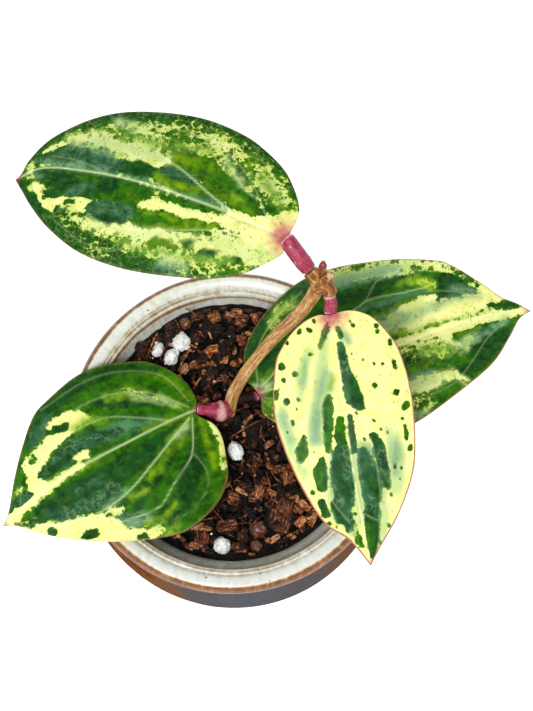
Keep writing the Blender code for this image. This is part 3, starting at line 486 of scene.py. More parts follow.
# Patches of each leaf, painted in this order: kind, then x, y and half width along its line.
# x runs along the leaf from its base, and y to its left.
PATCHES = {
    "leaf_a": [
        ("mosaic", [(-4, -5, 60), (92, -5, 60)]),
        ("dense", [(2, -20, 1.5), (12, -27, 2), (24, -31, 2.4), (40, -33, 3), (54, -31, 3), (66, -27, 3),
                   (78, -19, 3), (87, -7, 1.6)]),
        ("dense", [(36, 20, 1.6), (46, 20, 3), (58, 18.6, 3.6), (68, 14, 3.6), (78, 8.4, 2.8)]),
        ("dots", [(8, 12, 3), (20, 15, 3.4), (30, 17, 3)]),
        ("speckled", [(2, -9, 4), (6, -13, 3.6), (12, -18, 3), (18, -22, 2)]),
        ("speckled", [(22, -18, 2.4), (32, -22, 3), (30, -27, 2.6)]),
        ("dots", [(40, -22, 4), (52, -22, 4.6), (64, -21, 3)]),
        ("speckled", [(42, -17, 2.4), (50, -17.6, 2.4), (62, -18, 2.6), (73, -18.4, 2.2),
                      (80, -13, 1.6)]),
        ("silver", [(28, 18.4, 1.2), (34, 18.4, 1.8)]),
        ("pale", [(56, -24, 1.4), (62, -25, 1.4)]),
        ("dots", [(31, 12, 1.6), (42, 12.4, 1.8), (50, 13.4, 1.6)]),
        ("creamy", [(0, 4.6, 4), (7, 6, 4.4), (13, 7.6, 2.8), (19, 7.4, 1.8)]),
        ("cream", [(0, 2.6, 3), (6, 3, 2.6), (12, 3.6, 1.4)]),
        ("cream", [(-1, -4, 4.6), (6, -2.2, 3.6), (14, -0.4, 2.8), (22, 0.4, 1.6)]),
        ("creamy", [(14, 8, 2.2), (24, 9.4, 1.6), (36, 9.2, 1.4), (46, 9.8, 1.6), (54, 11.4, 1.2),
                    (61, 10.6, 1)]),
        ("cream", [(22, 1.2, 1.2), (34, 0.6, 1.5), (47, 0.2, 1.5)]),
        ("creamy", [(43, -14.6, 1.6), (52, -15, 1.4), (60, -16.8, 1.4), (68, -17.8, 1.8),
                    (75, -16, 1.4)]),
        ("cream", [(62, 5.6, 2), (66, 5, 2.6), (71, 3.4, 1.2), (74, 5.6, 1.4)]),
        ("cream", [(75.4, 8, 1.2), (77.6, 6.6, 1.2), (80, 4, 1.3), (82.4, 1.6, 1)]),
        ("cream", [(78, -12.8, 1.4), (82, -10.6, 1.2), (85.4, -7, 0.9)]),
        ("cream", [(44.4, -8, 0.7), (44.6, -12, 1.2)]),
        ("pale", [(14, -10, 0.6), (20, -15.4, 1.2), (25, -20, 0.8)]),
        ("olive", [(21, 2.6, 0.7), (28, 4.2, 1.6), (36, 5, 2.4), (44, 5.4, 2.6)]),
        ("green", [(35, 5.6, 0.8), (40, 5.6, 1.8), (46, 5.8, 2)]),
        ("bright", [(32, 3.8, 0.6), (38, 3.6, 0.8)]),
        ("blue", [(50.4, 5.6, 3.2), (55, 6, 4), (60.4, 6.4, 3)]),
        ("deep", [(54, 8, 1.2), (58, 8.4, 1.2)]),
        ("green", [(46.6, -2, 2), (50, -1, 3.6), (56, -1.4, 4.4), (62, -1.8, 4.2)]),
        ("deep", [(58, -2.6, 3), (66, -1.2, 4), (72, -1, 3.8), (79, -2.6, 2.8), (83.4, -3.4, 1.2)]),
        ("green", [(63, -3.4, 1.6), (69, -3.6, 1.2)]),
        ("bright", [(48, 0.6, 0.9), (51.4, 0.2, 0.7)]),
        ("sea", [(64, -1, 0.9), (70, 2, 1)]),
        ("deep", [(68.4, 4.6, 0.8), (70.4, 5.6, 0.8)]),
        ("deep", [(75, 3.4, 1.4), (78, 4, 1)]),
        ("deep", [(78, 10, 1.4), (82, 6.6, 1.9), (85, 3.4, 1.2)]),
        ("green", [(22, -2, 0.5), (33, -2.4, 1), (41, -2.8, 0.7)]),
        ("sea", [(20, -4.2, 0.6), (30, -5.4, 1.6), (42, -6.6, 1.8), (56, -7.4, 1.5), (70, -8, 1.5)]),
        ("deep", [(44.6, -9.6, 1.4), (50, -9.8, 2.6), (55.6, -9.6, 2.8)]),
        ("blue", [(58, -9.4, 2.8), (66, -9.8, 3), (74, -10.4, 3.6), (80, -8.8, 2.6), (84, -7, 1.3)]),
        ("silver", [(58, -12.4, 1.2), (63, -13.4, 1.4), (69, -14.6, 1.3), (74, -14.4, 0.8)]),
        ("silver", [(60, -7.2, 0.8), (70, -7, 0.7), (80, -6.6, 0.8)]),
        ("green", [(11.4, -7, 1), (16, -9, 2.4), (21, -11.6, 3), (26, -14, 2.2)]),
        ("bright", [(12.4, -4.8, 0.9), (18, -6.2, 1.3), (24, -8, 1.1), (28, -10, 0.8)]),
        ("lime", [(16, -7.4, 0.5), (20.6, -8.8, 0.6)]),
        ("green", [(4.6, -8, 1.1), (7, -8.8, 1)]),
        ("bright", [(27, -6.4, 1), (32, -7.6, 2.4), (38, -8.4, 2.8), (42.4, -9, 2)]),
        ("olive", [(34, -6.8, 1), (39, -7.2, 1.2), (43, -8, 0.9)]),
        ("bright", [(28, -15, 2.2), (34, -15.8, 3), (39, -16.2, 2.2)]),
        ("green", [(27.4, -13, 0.9), (31, -14.8, 0.9)]),
        ("olive", [(35, -15, 0.8), (40, -16.6, 1)]),
        ("blue", [(32, -9.6, 1), (37.4, -11, 2), (41.6, -11.4, 1.5)]),
        ("deep", [(12, 11, 1), (14, 11.6, 0.8)]),
        ("deep", [(20.6, 11, 1.3), (24.4, 13, 1.4)]),
        ("green", [(27, 9.8, 0.8), (29.6, 11, 0.9)]),
        ("bright", [(34, 12, 1.1), (39, 12.4, 1.2)]),
        ("deep", [(86.4, 1.4, 1.2), (88.8, 0.8, 1)]),
        ("silver", [(82.4, -2.4, 0.6), (86, -2.6, 0.8)]),
        ("green", [(85, -9.4, 0.8), (87, -6.4, 0.7)]),
        ("moss", [(5, -11, 1.4), (12, -17.6, 1.6)]),
        ("moss", [(14, 12.4, 1), (26, 14, 1.2), (40, 15.4, 1), (50, 14.6, 0.8)]),
        ("moss", [(30, -22, 1.2), (44, -20, 1.2), (58, -20.6, 1.2)]),
        ("haze", [(46, -15, 0.6), (56, -16.4, 0.6), (66, -17.6, 0.8)]),
        ("haze", [(28, 17.4, 0.6), (34, 16.6, 0.8)]),
    ],
    "leaf_b": [
        ("green", [(-4, 0, 60), (78, 0, 60)]),
        ("bright", [(-1, 5, 2), (1, 14, 2.4), (5, 22, 2), (10, 28, 1)]),
        ("bright", [(0, -4, 1.6), (2, -12, 1.4), (6, -18, 1.2), (12, -23, 0.8)]),
        ("deep", [(10, 2, 0.8), (20, 4, 3), (32, 5.6, 4.6), (44, 6.6, 5.6), (54, 5.6, 5),
                  (62, 3.4, 2.6)]),
        ("blue", [(38, 9.4, 2.6), (47, 10, 2.8), (55, 8.4, 2.4), (61, 5.4, 1.4)]),
        ("blue", [(40, 5, 1.4), (48, 4.4, 1.2)]),
        ("green", [(2, 6, 2.4), (5, 16, 3), (10, 25, 3), (18, 30, 2)]),
        ("olive", [(1, 3, 0.8), (3, 12, 1), (5, 20, 1)]),
        ("deep", [(8, 12, 2), (14, 19, 3.4), (20, 25, 3.6), (30, 27, 2.4)]),
        ("deep", [(6, -6, 1.4), (14, -11, 2), (24, -16, 2)]),
        ("deep", [(18, 11, 1.6), (27, 15, 2.2), (34, 18, 2)]),
        ("deep", [(5, -19, 1.4), (14, -25, 1.8), (30, -27, 2.4), (44, -24.6, 3), (54, -18.6, 2.4)]),
        ("deep", [(10, -10, 1.6), (20, -13, 1.4), (28, -18.6, 1.4)]),
        ("blue", [(44, -22, 1.6), (52, -18, 2.2)]),
        ("sea", [(12, -2.8, 0.7), (19, -4.8, 2), (26, -6.6, 2.8), (33, -8, 2)]),
        ("blue", [(26, -6, 1.4), (34, -8.4, 2.6), (42, -8.6, 3.6), (50, -7.2, 2.8), (55.6, -6.4, 1.6)]),
        ("deep", [(44, -7, 1), (52, -6.6, 1.6)]),
        ("green", [(28, -2.6, 1), (36, -3.4, 1.4), (42, -3.2, 1)]),
        ("bright", [(8, -2, 0.6), (20, -2.4, 0.8)]),
        ("bright", [(9, 7, 1.4), (18, 9.6, 1), (26, 13, 1.4)]),
        ("olive", [(21, 12.6, 0.8), (27, 12.4, 1)]),
        ("olive", [(23, 24.6, 0.8), (27, 26, 1)]),
        ("silver", [(33, 24, 1.2), (37, 22.6, 2.2), (41.4, 20.6, 2), (41, 17.6, 1.2)]),
        ("blue", [(35, 21, 0.8), (38.4, 20, 0.9)]),
        ("silver", [(36, 13, 1), (43, 14, 1)]),
        ("silver", [(55, 12, 0.7), (61, 9.6, 0.8)]),
        ("lime", [(29.6, 27.4, 1), (34, 25.6, 1.2)]),
        ("lime", [(26, 31, 0.8), (31, 31.6, 1)]),
        ("lime", [(29, 15.8, 0.9), (34, 15.4, 0.9)]),
        ("speckled", [(32, 29, 1.6), (36, 27.4, 1.6)]),
        ("cream", [(36, 29, 1.2), (40, 27, 2.2), (44, 24, 2.2), (47, 20.6, 4), (51, 17.4, 3.8),
                   (56, 14.6, 3.2), (61.6, 11, 2.3), (66, 7.6, 1.7), (70.5, 4, 1.2), (74, 1.4, 0.9)]),
        ("cream", [(40.6, 16.6, 0.9), (45, 16.4, 1.6)]),
        ("cream", [(42, 25, 1), (43.4, 21, 1.4)]),
        ("deep", [(37.4, 28.8, 0.9), (39.4, 28, 0.8)]),
        ("deep", [(50.6, 19.2, 1.1), (53.6, 18.2, 1.2)]),
        ("deep", [(61.4, 11.4, 0.9), (62.8, 10.4, 0.8)]),
        ("green", [(42.6, 16.2, 0.6), (44.4, 16, 0.5)]),
        ("dense", [(63.6, 5, 1.2), (67.4, 4.6, 1.2), (70.6, 3, 0.8)]),
        ("lime", [(36, -1.6, 0.4), (46, -2, 1), (54, -2.6, 1.4)]),
        ("cream", [(44, -2.4, 0.6), (54, -2.2, 1), (62, -1.8, 1.6), (68, -1, 1.6), (74, -0.2, 0.9)]),
        ("cream", [(57.6, -2.6, 1.6), (60, -5, 2), (59.4, -8, 2), (57.6, -11, 2.2)]),
        ("cream", [(40, -15.4, 1.4), (46, -14.6, 1.8), (52, -13, 2), (58, -10.6, 2)]),
        ("cream", [(34.4, -17, 2), (38, -18.2, 2.6), (44, -18.4, 2.2), (46.6, -16, 1.6)]),
        ("lime", [(30, -13, 1), (34, -15, 1.6), (39, -14.6, 1)]),
        ("cream", [(39.6, -4.8, 0.6), (42.8, -5.2, 0.6)]),
        ("deep", [(40.8, -16.8, 1.1), (44, -17.2, 1.3)]),
        ("green", [(46, -17.4, 0.9), (47, -18.2, 0.8)]),
        ("green", [(54.6, -13.2, 0.5), (54.7, -13.2, 0.5)]),
        ("green", [(56, -12.8, 0.5), (56.6, -13, 0.4)]),
        ("bright", [(28.4, -11.6, 0.8), (31, -13.2, 1)]),
        ("lime", [(3.4, -3, 0.9), (7.6, -8, 1.5), (12, -12.6, 1.8), (17, -16.8, 1.8), (24, -18.2, 1.4)]),
        ("speckled", [(9, -9.6, 0.6), (12.6, -13, 1), (17, -17.4, 1.2), (23, -18.4, 0.9)]),
        ("pale", [(5, -5, 0.6), (8.6, -8.8, 1), (12.6, -12, 0.9), (15.6, -15, 0.7)]),
        ("deep", [(9.4, -12.4, 0.8), (11, -12, 0.8)]),
        ("lime", [(3, 1, 0.7), (8, 3.4, 1.2), (14, 5.8, 1)]),
        ("pale", [(6.4, 3.6, 0.6), (10.5, 5.4, 0.9)]),
        ("olive", [(3, -0.4, 0.6), (12, -1, 0.6)]),
        ("olive", [(12, 7.4, 1), (16, 8.6, 0.7)]),
        ("blue", [(62.4, -4.2, 1), (66.6, -3.8, 1.7), (70, -3.2, 1)]),
        ("green", [(61.6, -9.6, 1.2), (64.6, -9.4, 1.8), (63.6, -12.4, 1.4)]),
        ("dense", [(62.6, -7, 0.9), (67, -6.6, 1.2)]),
        ("speckled", [(64, -7.4, 0.8), (68, -6.4, 0.7)]),
        ("speckled", [(-2, 7, 0.6), (-1.6, 12, 1.2), (0, 17.6, 1.2), (2.6, 21.4, 1)]),
        ("cream", [(-2.2, 7, 0.5), (-2, 12, 0.9), (-0.2, 17, 0.7)]),
    ],
    "leaf_c": [
        ("cream", [(-4, 0, 60), (80, 0, 60)]),
        ("haze", [(5, -3, 0.5), (14, -5.6, 1), (24, -8, 1.4), (36, -11.4, 1.4)]),
        ("haze", [(38, 10.6, 0.6), (41, 13.6, 1.4), (48, 13.8, 1.8), (56, 12.4, 1.2)]),
        ("pale", [(6, -3.4, 0.6), (14, -5, 1.6), (22, -6.6, 2.6), (30, -9, 3), (38, -11.6, 2.2)]),
        ("silver", [(18, -5.4, 0.6), (24, -7.6, 1.2), (31, -10, 2), (38, -11.8, 1.8)]),
        ("pale", [(11, -9.6, 1.4), (17, -12.4, 2), (25, -14.4, 1.4)]),
        ("silver", [(29, -20.6, 1.2), (37, -19.4, 1)]),
        ("silver", [(14, -11, 0.6), (20, -13, 1)]),
        ("pale", [(40, -20, 1), (48, -16.6, 1.6)]),
        ("pale", [(27, -20.8, 1.6), (38, -19.2, 1.8)]),
        ("moss", [(19.4, -3.4, 0.6), (23.6, -4.4, 1)]),
        ("pale", [(41.6, 12, 1.8), (48, 12, 2.8), (56, 11, 2)]),
        ("silver", [(43, 12.6, 1.4), (47, 12.4, 2.2), (51, 12, 1.6)]),
        ("silver", [(44, 3, 3.4), (54, 4.6, 4), (60, 3.6, 3.4), (66, 4.6, 2.4), (72, 2.6, 1.4)]),
        ("pale", [(62, 6.6, 1.6), (70, 4.8, 1.2)]),
        ("silver", [(44, -6, 2.4), (52, -7, 3.4), (60, -7, 3.6), (66, -4.4, 1.8)]),
        ("silver", [(42, -0.8, 0.2), (52, -1, 0.8), (64, -0.8, 0.8)]),
        ("silver", [(6.4, 2, 0.9), (8.6, 3.2, 1.5), (9.8, 3.8, 1)]),
        ("green", [(5.2, 0.9, 0.5), (7.8, 1.7, 0.7)]),
        ("blue", [(10.6, 0.9, 1), (16, 1.3, 1.6), (22, 1.7, 2.1), (27, 2.2, 2.4), (30, 3.4, 1.4)]),
        ("deep", [(20.6, 2.8, 0.8), (25, 2.6, 1.9), (28, 3.2, 1.9), (30.4, 4.2, 0.9)]),
        ("deep", [(39.4, 6.6, 1), (44, 7.6, 1.8), (50, 8.3, 1.9), (54.6, 8.4, 1.3)]),
        ("blue", [(44, 7.8, 1.2), (52, 8.8, 1.2)]),
        ("blue", [(43.6, 2.4, 1.4), (47, 3, 2.6), (52, 3.8, 3.2), (57, 3.4, 3)]),
        ("deep", [(51, 2, 1.2), (55.4, 5.4, 1.4), (58.8, 5, 1.2)]),
        ("blue", [(58.6, 2.8, 1.8), (61.6, 3, 2.4), (63.6, 3.2, 1.8)]),
        ("deep", [(62.6, 0.9, 0.8), (66, 2.4, 2.3), (70.6, 1.7, 1.7), (75, 1, 0.8)]),
        ("green", [(66, 0.8, 0.7), (72, 0.9, 0.8)]),
        ("deep", [(33, 0, 0.8), (38, -0.1, 1.1), (43.6, -0.2, 0.9)]),
        ("green", [(33.6, -3, 1.1), (38, -3.8, 1.7), (42.6, -3.6, 1.4)]),
        ("green", [(26.4, -5.6, 1.2), (30, -6.6, 1.6), (36, -7.4, 1.5), (41, -8, 1)]),
        ("deep", [(30, -7.2, 0.7), (35, -7.8, 0.7)]),
        ("green", [(37, -15.2, 0.8), (40.6, -16.6, 1.8), (43.2, -17.2, 1.1)]),
        ("blue", [(42.6, -4.4, 2.1), (47, -5, 3.4), (53, -5.2, 3.7), (57.6, -5.4, 3)]),
        ("deep", [(43, -6.2, 1), (47, -7, 0.9), (56, -4.4, 1.4)]),
        ("blue", [(58.4, -7.6, 2.2), (61.4, -6.6, 2.6), (64.6, -5.2, 1.6)]),
        ("deep", [(58, -9.4, 0.9), (62.6, -8, 0.9)]),
        ("green", [(44.4, -10.6, 1.1), (48.4, -11.8, 2.3), (52, -12, 1.5)]),
        ("deep", [(50, -10.4, 1), (52.6, -11, 0.8)]),
        ("deep", [(56.6, -12.8, 0.9), (60.2, -12, 1.2)]),
        ("green", [(3, -1.7, 0.4), (7, -3.9, 0.9), (10.4, -5.4, 0.8)]),
        ("speckled", [(66, -3, 0.8), (71, -2.6, 0.7)]),
        ("silver", [(29, -20.8, 0.9), (37, -19.6, 0.8)]),
    ],
    "leaf_d": [
        ("green", [(-4, 0, 60), (99, 0, 60)]),
        ("deep", [(2, 16, 3), (10, 25, 2.4), (24, 29, 2), (34, 26, 2)]),
        ("deep", [(6, 8, 3), (16, 12, 4), (28, 16, 4)]),
        ("speckled", [(11, 21.6, 1.2), (15, 24.4, 1.7), (19, 25.6, 1.2)]),
        ("moss", [(11, 21.6, 1.6), (15, 24.4, 1.8), (20, 26, 1.6)]),
        ("deep", [(36, 21.6, 2.6), (43, 21.6, 2.6), (48, 21, 2.4)]),
        ("deep", [(47, 22, 2.2), (54, 22.4, 2.8), (61, 22, 2.2)]),
        ("cream", [(34, 28.6, 1.2), (44, 28.4, 1.5), (52, 27.6, 1.6), (60, 25.8, 1.2)]),
        ("pale", [(34, 28.6, 1.6), (44, 28.4, 2), (52, 27.6, 2.2), (60, 25.8, 1.8)]),
        ("silver", [(34, 28.6, 1.2), (44, 28.2, 1.6), (54, 27, 1.8), (62, 25, 1.2)]),
        ("silver", [(36, 26.8, 1.2), (44, 26.4, 1.5), (52, 25.8, 1.5)]),
        ("lime", [(56, 20, 0.8), (61.6, 21, 0.9)]),
        ("sea", [(38, 15.6, 0.9), (48, 16, 1.5), (57, 15.8, 1.3), (64, 15, 1)]),
        ("green", [(40, 13.4, 1.4), (54, 13.8, 1.3), (66, 13.6, 1.2)]),
        ("bright", [(44, 12, 0.9), (54, 14.2, 0.6), (60, 14.4, 0.6)]),
        ("creamy", [(44, 7.4, 1), (52, 8.8, 2.2), (60, 9.4, 2.8), (66, 9, 2.2)]),
        ("pale", [(42, 7.4, 1.4), (52, 8.8, 2.6), (60, 9.6, 3.2), (66, 9, 2.6)]),
        ("haze", [(42, 8, 2.4), (52, 9, 3.4), (58, 9.4, 3), (64, 8.6, 2)]),
        ("silver", [(44, 8, 1), (52, 8.6, 1.6), (58, 9, 1.2)]),
        ("sea", [(44, 9.6, 1), (52, 10.6, 1)]),
        ("lime", [(48, 5, 1.4), (58, 4.8, 1.4)]),
        ("cream", [(55, 11.8, 0.9), (61, 12.4, 1.3), (66, 13, 0.8)]),
        ("cream", [(54, 5.6, 0.8), (62, 6.4, 1.6), (70, 6.6, 2.4), (78, 6.6, 2.4), (84, 7.4, 1.6),
                   (88, 6.6, 0.9)]),
        ("deep", [(68, 11, 1.8), (73, 14, 3.6), (79, 13.8, 3), (82.8, 11.6, 1.6)]),
        ("deep", [(69.6, 17.6, 2.8), (73, 19.6, 2.4), (77.4, 17.8, 2)]),
        ("green", [(68, 21, 1.2), (72, 21.4, 1)]),
        ("cream", [(66, 9, 0.8), (72, 9.8, 0.9), (77, 9.6, 0.9), (83, 9, 0.8)]),
        ("silver", [(66, 9.8, 0.8), (72, 11, 0.8), (77, 10.8, 1), (82, 9, 0.8)]),
        ("silver", [(74, 14.4, 0.5), (80, 12, 0.5)]),
        ("speckled", [(63, 19, 1.1), (66.4, 17, 1.2)]),
        ("lime", [(60, 20, 1.4), (63, 19, 1.5), (66.4, 17, 1.7)]),
        ("dots", [(35, 31, 1.6), (45, 30.4, 1.8), (56, 28.6, 2), (64, 26, 2)]),
        ("speckled", [(60, 26, 1.2), (66, 24, 1.8), (71, 22.8, 1.4)]),
        ("cream", [(71, 23.4, 1.2), (76, 20.6, 1.3), (80.6, 15.8, 1.1), (85, 10.4, 1.5), (90, 5.4, 1)]),
        ("dots", [(73, 22, 0.6), (78, 18.6, 0.6), (82, 14, 0.6)]),
        ("lime", [(60, 3.8, 0.6), (72, 3.9, 0.5), (80, 3.6, 0.5)]),
        ("dots", [(76, 3.4, 0.7), (82, 3.6, 0.8), (86, 3, 0.8)]),
        ("deep", [(84.6, 5.2, 1), (88.6, 4.4, 1.1), (92.6, 3, 1.2)]),
        ("cream", [(46, 1, 1), (65, 1.6, 1.2), (80, 1.4, 1.1), (95, 0.6, 0.9)]),
        ("speckled", [(46, -1.8, 2), (58, -1.8, 1.6), (63, -2, 1.2)]),
        ("creamy", [(60, -2.2, 0.7), (66, -2.2, 0.8)]),
        ("dense", [(48, -6.4, 3.2), (56, -6.6, 3.4), (62, -5.4, 2)]),
        ("bright", [(51, -8.8, 1), (58, -8.4, 1.2)]),
        ("green", [(68.6, -2.4, 1.3), (76, -2, 1.3), (84.6, -1.2, 1)]),
        ("bright", [(70, -1.6, 0.6), (78, -1.2, 0.6)]),
        ("creamy", [(64.6, -4, 0.9), (70.6, -5.6, 1), (74, -4.4, 0.6)]),
        ("pale", [(66, -4.6, 1.2), (71, -5.4, 1.6), (76, -4.4, 0.9)]),
        ("silver", [(72, -5.4, 1.2), (80, -3.6, 0.9), (88, -0.8, 1.2)]),
        ("mosaic", [(62.6, -9, 2), (66.6, -7.6, 1.6)]),
        ("mosaic", [(59, -3.8, 1.2), (65, -6.2, 1.9), (68.6, -8.6, 1.2)]),
        ("moss", [(57, -4, 1.8), (62, -5, 2.2), (67, -7, 2)]),
        ("creamy", [(48, -14.4, 1.6), (57, -15, 1.8), (65, -14, 1.1), (67, -17.4, 0.8)]),
        ("silver", [(50, -11.4, 0.8), (57, -11.6, 0.8)]),
        ("deep", [(74, -9.4, 3), (80, -8, 3.6), (86, -5, 1.8)]),
        ("deep", [(69, -14.2, 2.2), (73, -13.2, 2.6), (77, -11.4, 2)]),
        ("green", [(67.4, -9, 0.9), (69.6, -10.6, 1.1)]),
        ("mosaic", [(47, -21.4, 2.4), (55, -20.6, 2.2)]),
        ("pale", [(47, -25, 1.2), (52, -24, 0.9)]),
        ("green", [(58.6, -19.6, 1.1), (63.6, -18.8, 1.2)]),
        ("speckled", [(0, -6, 2.4), (4, -10, 2.4)]),
        ("mosaic", [(1, -8, 1.4), (5, -12, 1.6)]),
        ("pale", [(0, 2, 1.6), (5, 1.6, 1)]),
        ("lime", [(3, 4, 0.5), (12, 7, 0.4)]),
        ("lime", [(2, -3, 0.6), (6, -7, 0.5)]),
        ("mosaic", [(59, -3.2, 1.4), (64, -4.4, 1.4)]),
        ("moss", [(58, -3, 1.2), (63, -4.6, 1.6), (67, -7, 1)]),
        ("haze", [(46, 7.6, 2), (52, 8.4, 2.6), (59, 9.6, 2)]),
        ("silver", [(46, 8, 0.8), (54, 8.6, 1)]),
        ("silver", [(36, 27.4, 1), (46, 27.2, 1.4), (56, 26, 1.2), (62, 23.8, 0.6)]),
        ("haze", [(50, -13.4, 0.6), (58, -14, 0.8)]),
        ("mosaic", [(60, 24.6, 1.2), (66, 22.8, 1)]),
    ],
}

# The colour, share, net and edge of loose spots, how far their outline is pushed about, and the pale
# halo round green patches
SPOT_KIND = ((50, 100, 8), 1.0, 0.0, 0.6)
SPOT_PUSH = 0.35
HALO_COLOUR = (210, 224, 150)

# Loose spots: x, y, half length along the leaf and half width
SPOTS = {
    "leaf_c": [
        (32, 18.3, 1.2, 1.2), (27.5, 16, 1, 1), (19, 16.8, 1.6, 0.7), (12, 17, 0.9, 0.7),
        (6, 13.3, 0.7, 0.7), (8, 13.3, 0.6, 0.6), (18.5, 13, 0.5, 0.4), (18, 10.5, 0.4, 0.4),
        (24.5, 9.5, 0.8, 0.8), (3.5, 5.5, 0.4, 0.4), (5, 6, 0.5, 0.4), (45, 17.5, 1, 0.8),
        (40, 17, 2.2, 0.6), (36, 16.5, 0.4, 0.4), (50.5, 14, 0.5, 0.5), (53.5, 13, 0.5, 0.4),
        (50, 12, 0.4, 0.4), (39.5, 11.3, 0.5, 0.5), (35, 7.5, 0.3, 0.3), (57.5, 9.5, 0.4, 0.4),
        (40, 3.8, 0.4, 0.4), (67, 7.5, 0.5, 0.5), (71.7, 4, 0.5, 0.5), (69.5, -2.2, 1.8, 0.5),
        (62, -3, 0.5, 0.4), (64, -3.8, 0.4, 0.4), (66, -6, 0.6, 0.6), (63.3, -11.3, 0.4, 0.4),
        (53, -14.8, 0.7, 0.6), (17, -14.5, 0.8, 0.7), (25, -14.8, 0.6, 0.6), (25, -18.5, 1, 0.8),
        (14, -18.5, 1, 0.8), (22, -21.6, 1.5, 0.6), (18, -18.5, 0.5, 0.5), (12, -9, 0.7, 0.6),
        (4, -8, 0.6, 0.6), (4, -11, 0.7, 0.7), (1.5, -6, 0.4, 0.4), (7, -15.5, 0.6, 0.5),
        (31.5, -18, 0.5, 0.5), (32, 2, 0.4, 0.4), (34, -20, 0.4, 0.4), (38, 9.4, 0.3, 0.3),
    ],
}

# Veins of each leaf: strength, then x and y along it
VEINS = {
    "leaf_a": [
        (1.0, [(0, 0), (20, -3), (40, -5), (55, -6), (70, -6), (82, -5), (89, -0.6)]),
        (0.6, [(6, 0.6), (22, 4), (34, 7.2), (46, 10), (57, 10), (62, 8)]),
        (0.8, [(18, -3), (28, -8), (36, -12.4), (44, -15.6)]),
        (0.5, [(6, -3), (14, -14), (22, -21), (30, -25), (45, -27), (60, -26)]),
        (0.35, [(30, 14), (35, 18), (37, 21)]),
        (0.4, [(45, 14), (52, 18), (62, 17), (72, 12)]),
        (0.4, [(60, -6.4), (70, -9), (80, -9.6)]),
        (0.3, [(34, -20), (44, -23), (56, -22), (68, -18)]),
        (0.3, [(4, -8), (8, -18), (16, -25)]),
        (0.4, [(81, -8), (83, -5), (87, -2)]),
    ],
    "leaf_b": [
        (1.0, [(0, 0), (10, -1), (24, -1.5), (46, -2.5), (60, -1.7), (75, 0)]),
        (0.7, [(3, 2), (10, 13), (20, 18.5), (27, 22.5), (33, 22.5), (43, 20)]),
        (0.4, [(9, 13), (8.5, 20), (12, 26), (20, 29.5), (27, 28.5)]),
        (0.8, [(4, 1.5), (15, 6), (25, 10), (32, 12.5), (40, 14), (48, 13.8), (58, 11), (66, 6)]),
        (0.6, [(10, -1), (20, -8), (28, -12.5), (38, -13.8), (46, -13.5)]),
        (0.5, [(2, -2), (10, -12), (18, -17), (30, -20), (45, -20)]),
        (0.4, [(1, -4), (3, -14), (8, -20), (18, -25), (30, -27), (45, -26)]),
        (0.25, [(45, -22), (50, -17), (56, -12)]),
    ],
    "leaf_c": [
        (0.7, [(0, 0), (12.6, -0.5), (33, -1.2), (54, -1.4), (78, 0)]),
        (0.35, [(1, -1), (11, -6), (27, -13), (40, -15)]),
        (0.35, [(1, 1), (10, 6), (26, 12), (40, 13), (54, 9)]),
        (0.4, [(40, -7), (48, -9.4), (56, -9.6), (64, -5)]),
        (0.4, [(40, 5.6), (50, 6.2), (58, 6), (64, 4.6)]),
        (0.45, [(62, 0), (64.4, 3.4), (64.6, 5.6)]),
    ],
    "leaf_d": [
        (0.8, [(0, 0), (20, 0.3), (49, 0.9), (65, 1.9), (84, 2.4), (96, 0.4)]),
        (0.7, [(2, 2), (20, 11), (40, 17), (45, 18.5), (55, 17.6), (65, 17)]),
        (0.45, [(44, 18.6), (47, 22), (50, 24), (57, 25), (63, 23.6)]),
        (0.5, [(1, 3), (4, 14), (12, 22), (24, 28)]),
        (0.4, [(65, 15.6), (74, 13), (84, 8)]),
        (0.4, [(2, -2), (20, -11), (40, -17), (62, -18), (80, -5), (87, -2)]),
        (0.3, [(48, 5), (58, 5), (70, 4)]),
        (0.4, [(1, -2), (6, -10), (16, -19)]),
    ],
}

# How each leaf differs: extra green along its margin, how ragged its patches are, how much its margin
# is coloured, how far the blush at its base goes, how red its tip is, its halos, how fine its cells
# are, and its freckles
LEAF_LOOKS = {
    "leaf_a": {"edge_green": 0.2, "ragged": 1.0, "edge_line": 0.12, "blush": 8.5, "tip": 0.75,
               "halo": 0.5, "grain": 1.3, "freckle": 0.8},
    "leaf_b": {"edge_green": 0.0, "ragged": 0.7, "edge_line": 0.3, "blush": 2.4, "tip": 0.6,
               "halo": 0.35, "grain": 1.0, "freckle": 0.3},
    "leaf_c": {"edge_green": 0.0, "ragged": 0.42, "edge_line": 1.0, "blush": 8.0, "tip": 0.55,
               "halo": 0.16, "grain": 1.0, "freckle": 0.3},
    "leaf_d": {"edge_green": 0.0, "ragged": 0.8, "edge_line": 0.45, "blush": 3.6, "tip": 0.5,
               "halo": 0.4, "grain": 1.15, "freckle": 0.6},
}
# How far that extra green reaches in from the margin
EDGE_REACH = 3.0


# Noise and curves

def lattice(cells, seed):
    """A repeatable value from 0 to 1 for each whole-numbered cell."""
    x, y, z = ((cells[..., k] & HASH_MASK).astype(np.uint64) for k in range(3))
    mixed = (x * 374761393 + y * 668265263 + z * 974634777 + seed * 362437) & HASH_MASK
    mixed = ((mixed ^ (mixed >> 13)) * 1274126177) & HASH_MASK
    return (mixed ^ (mixed >> 16)) / HASH_MASK


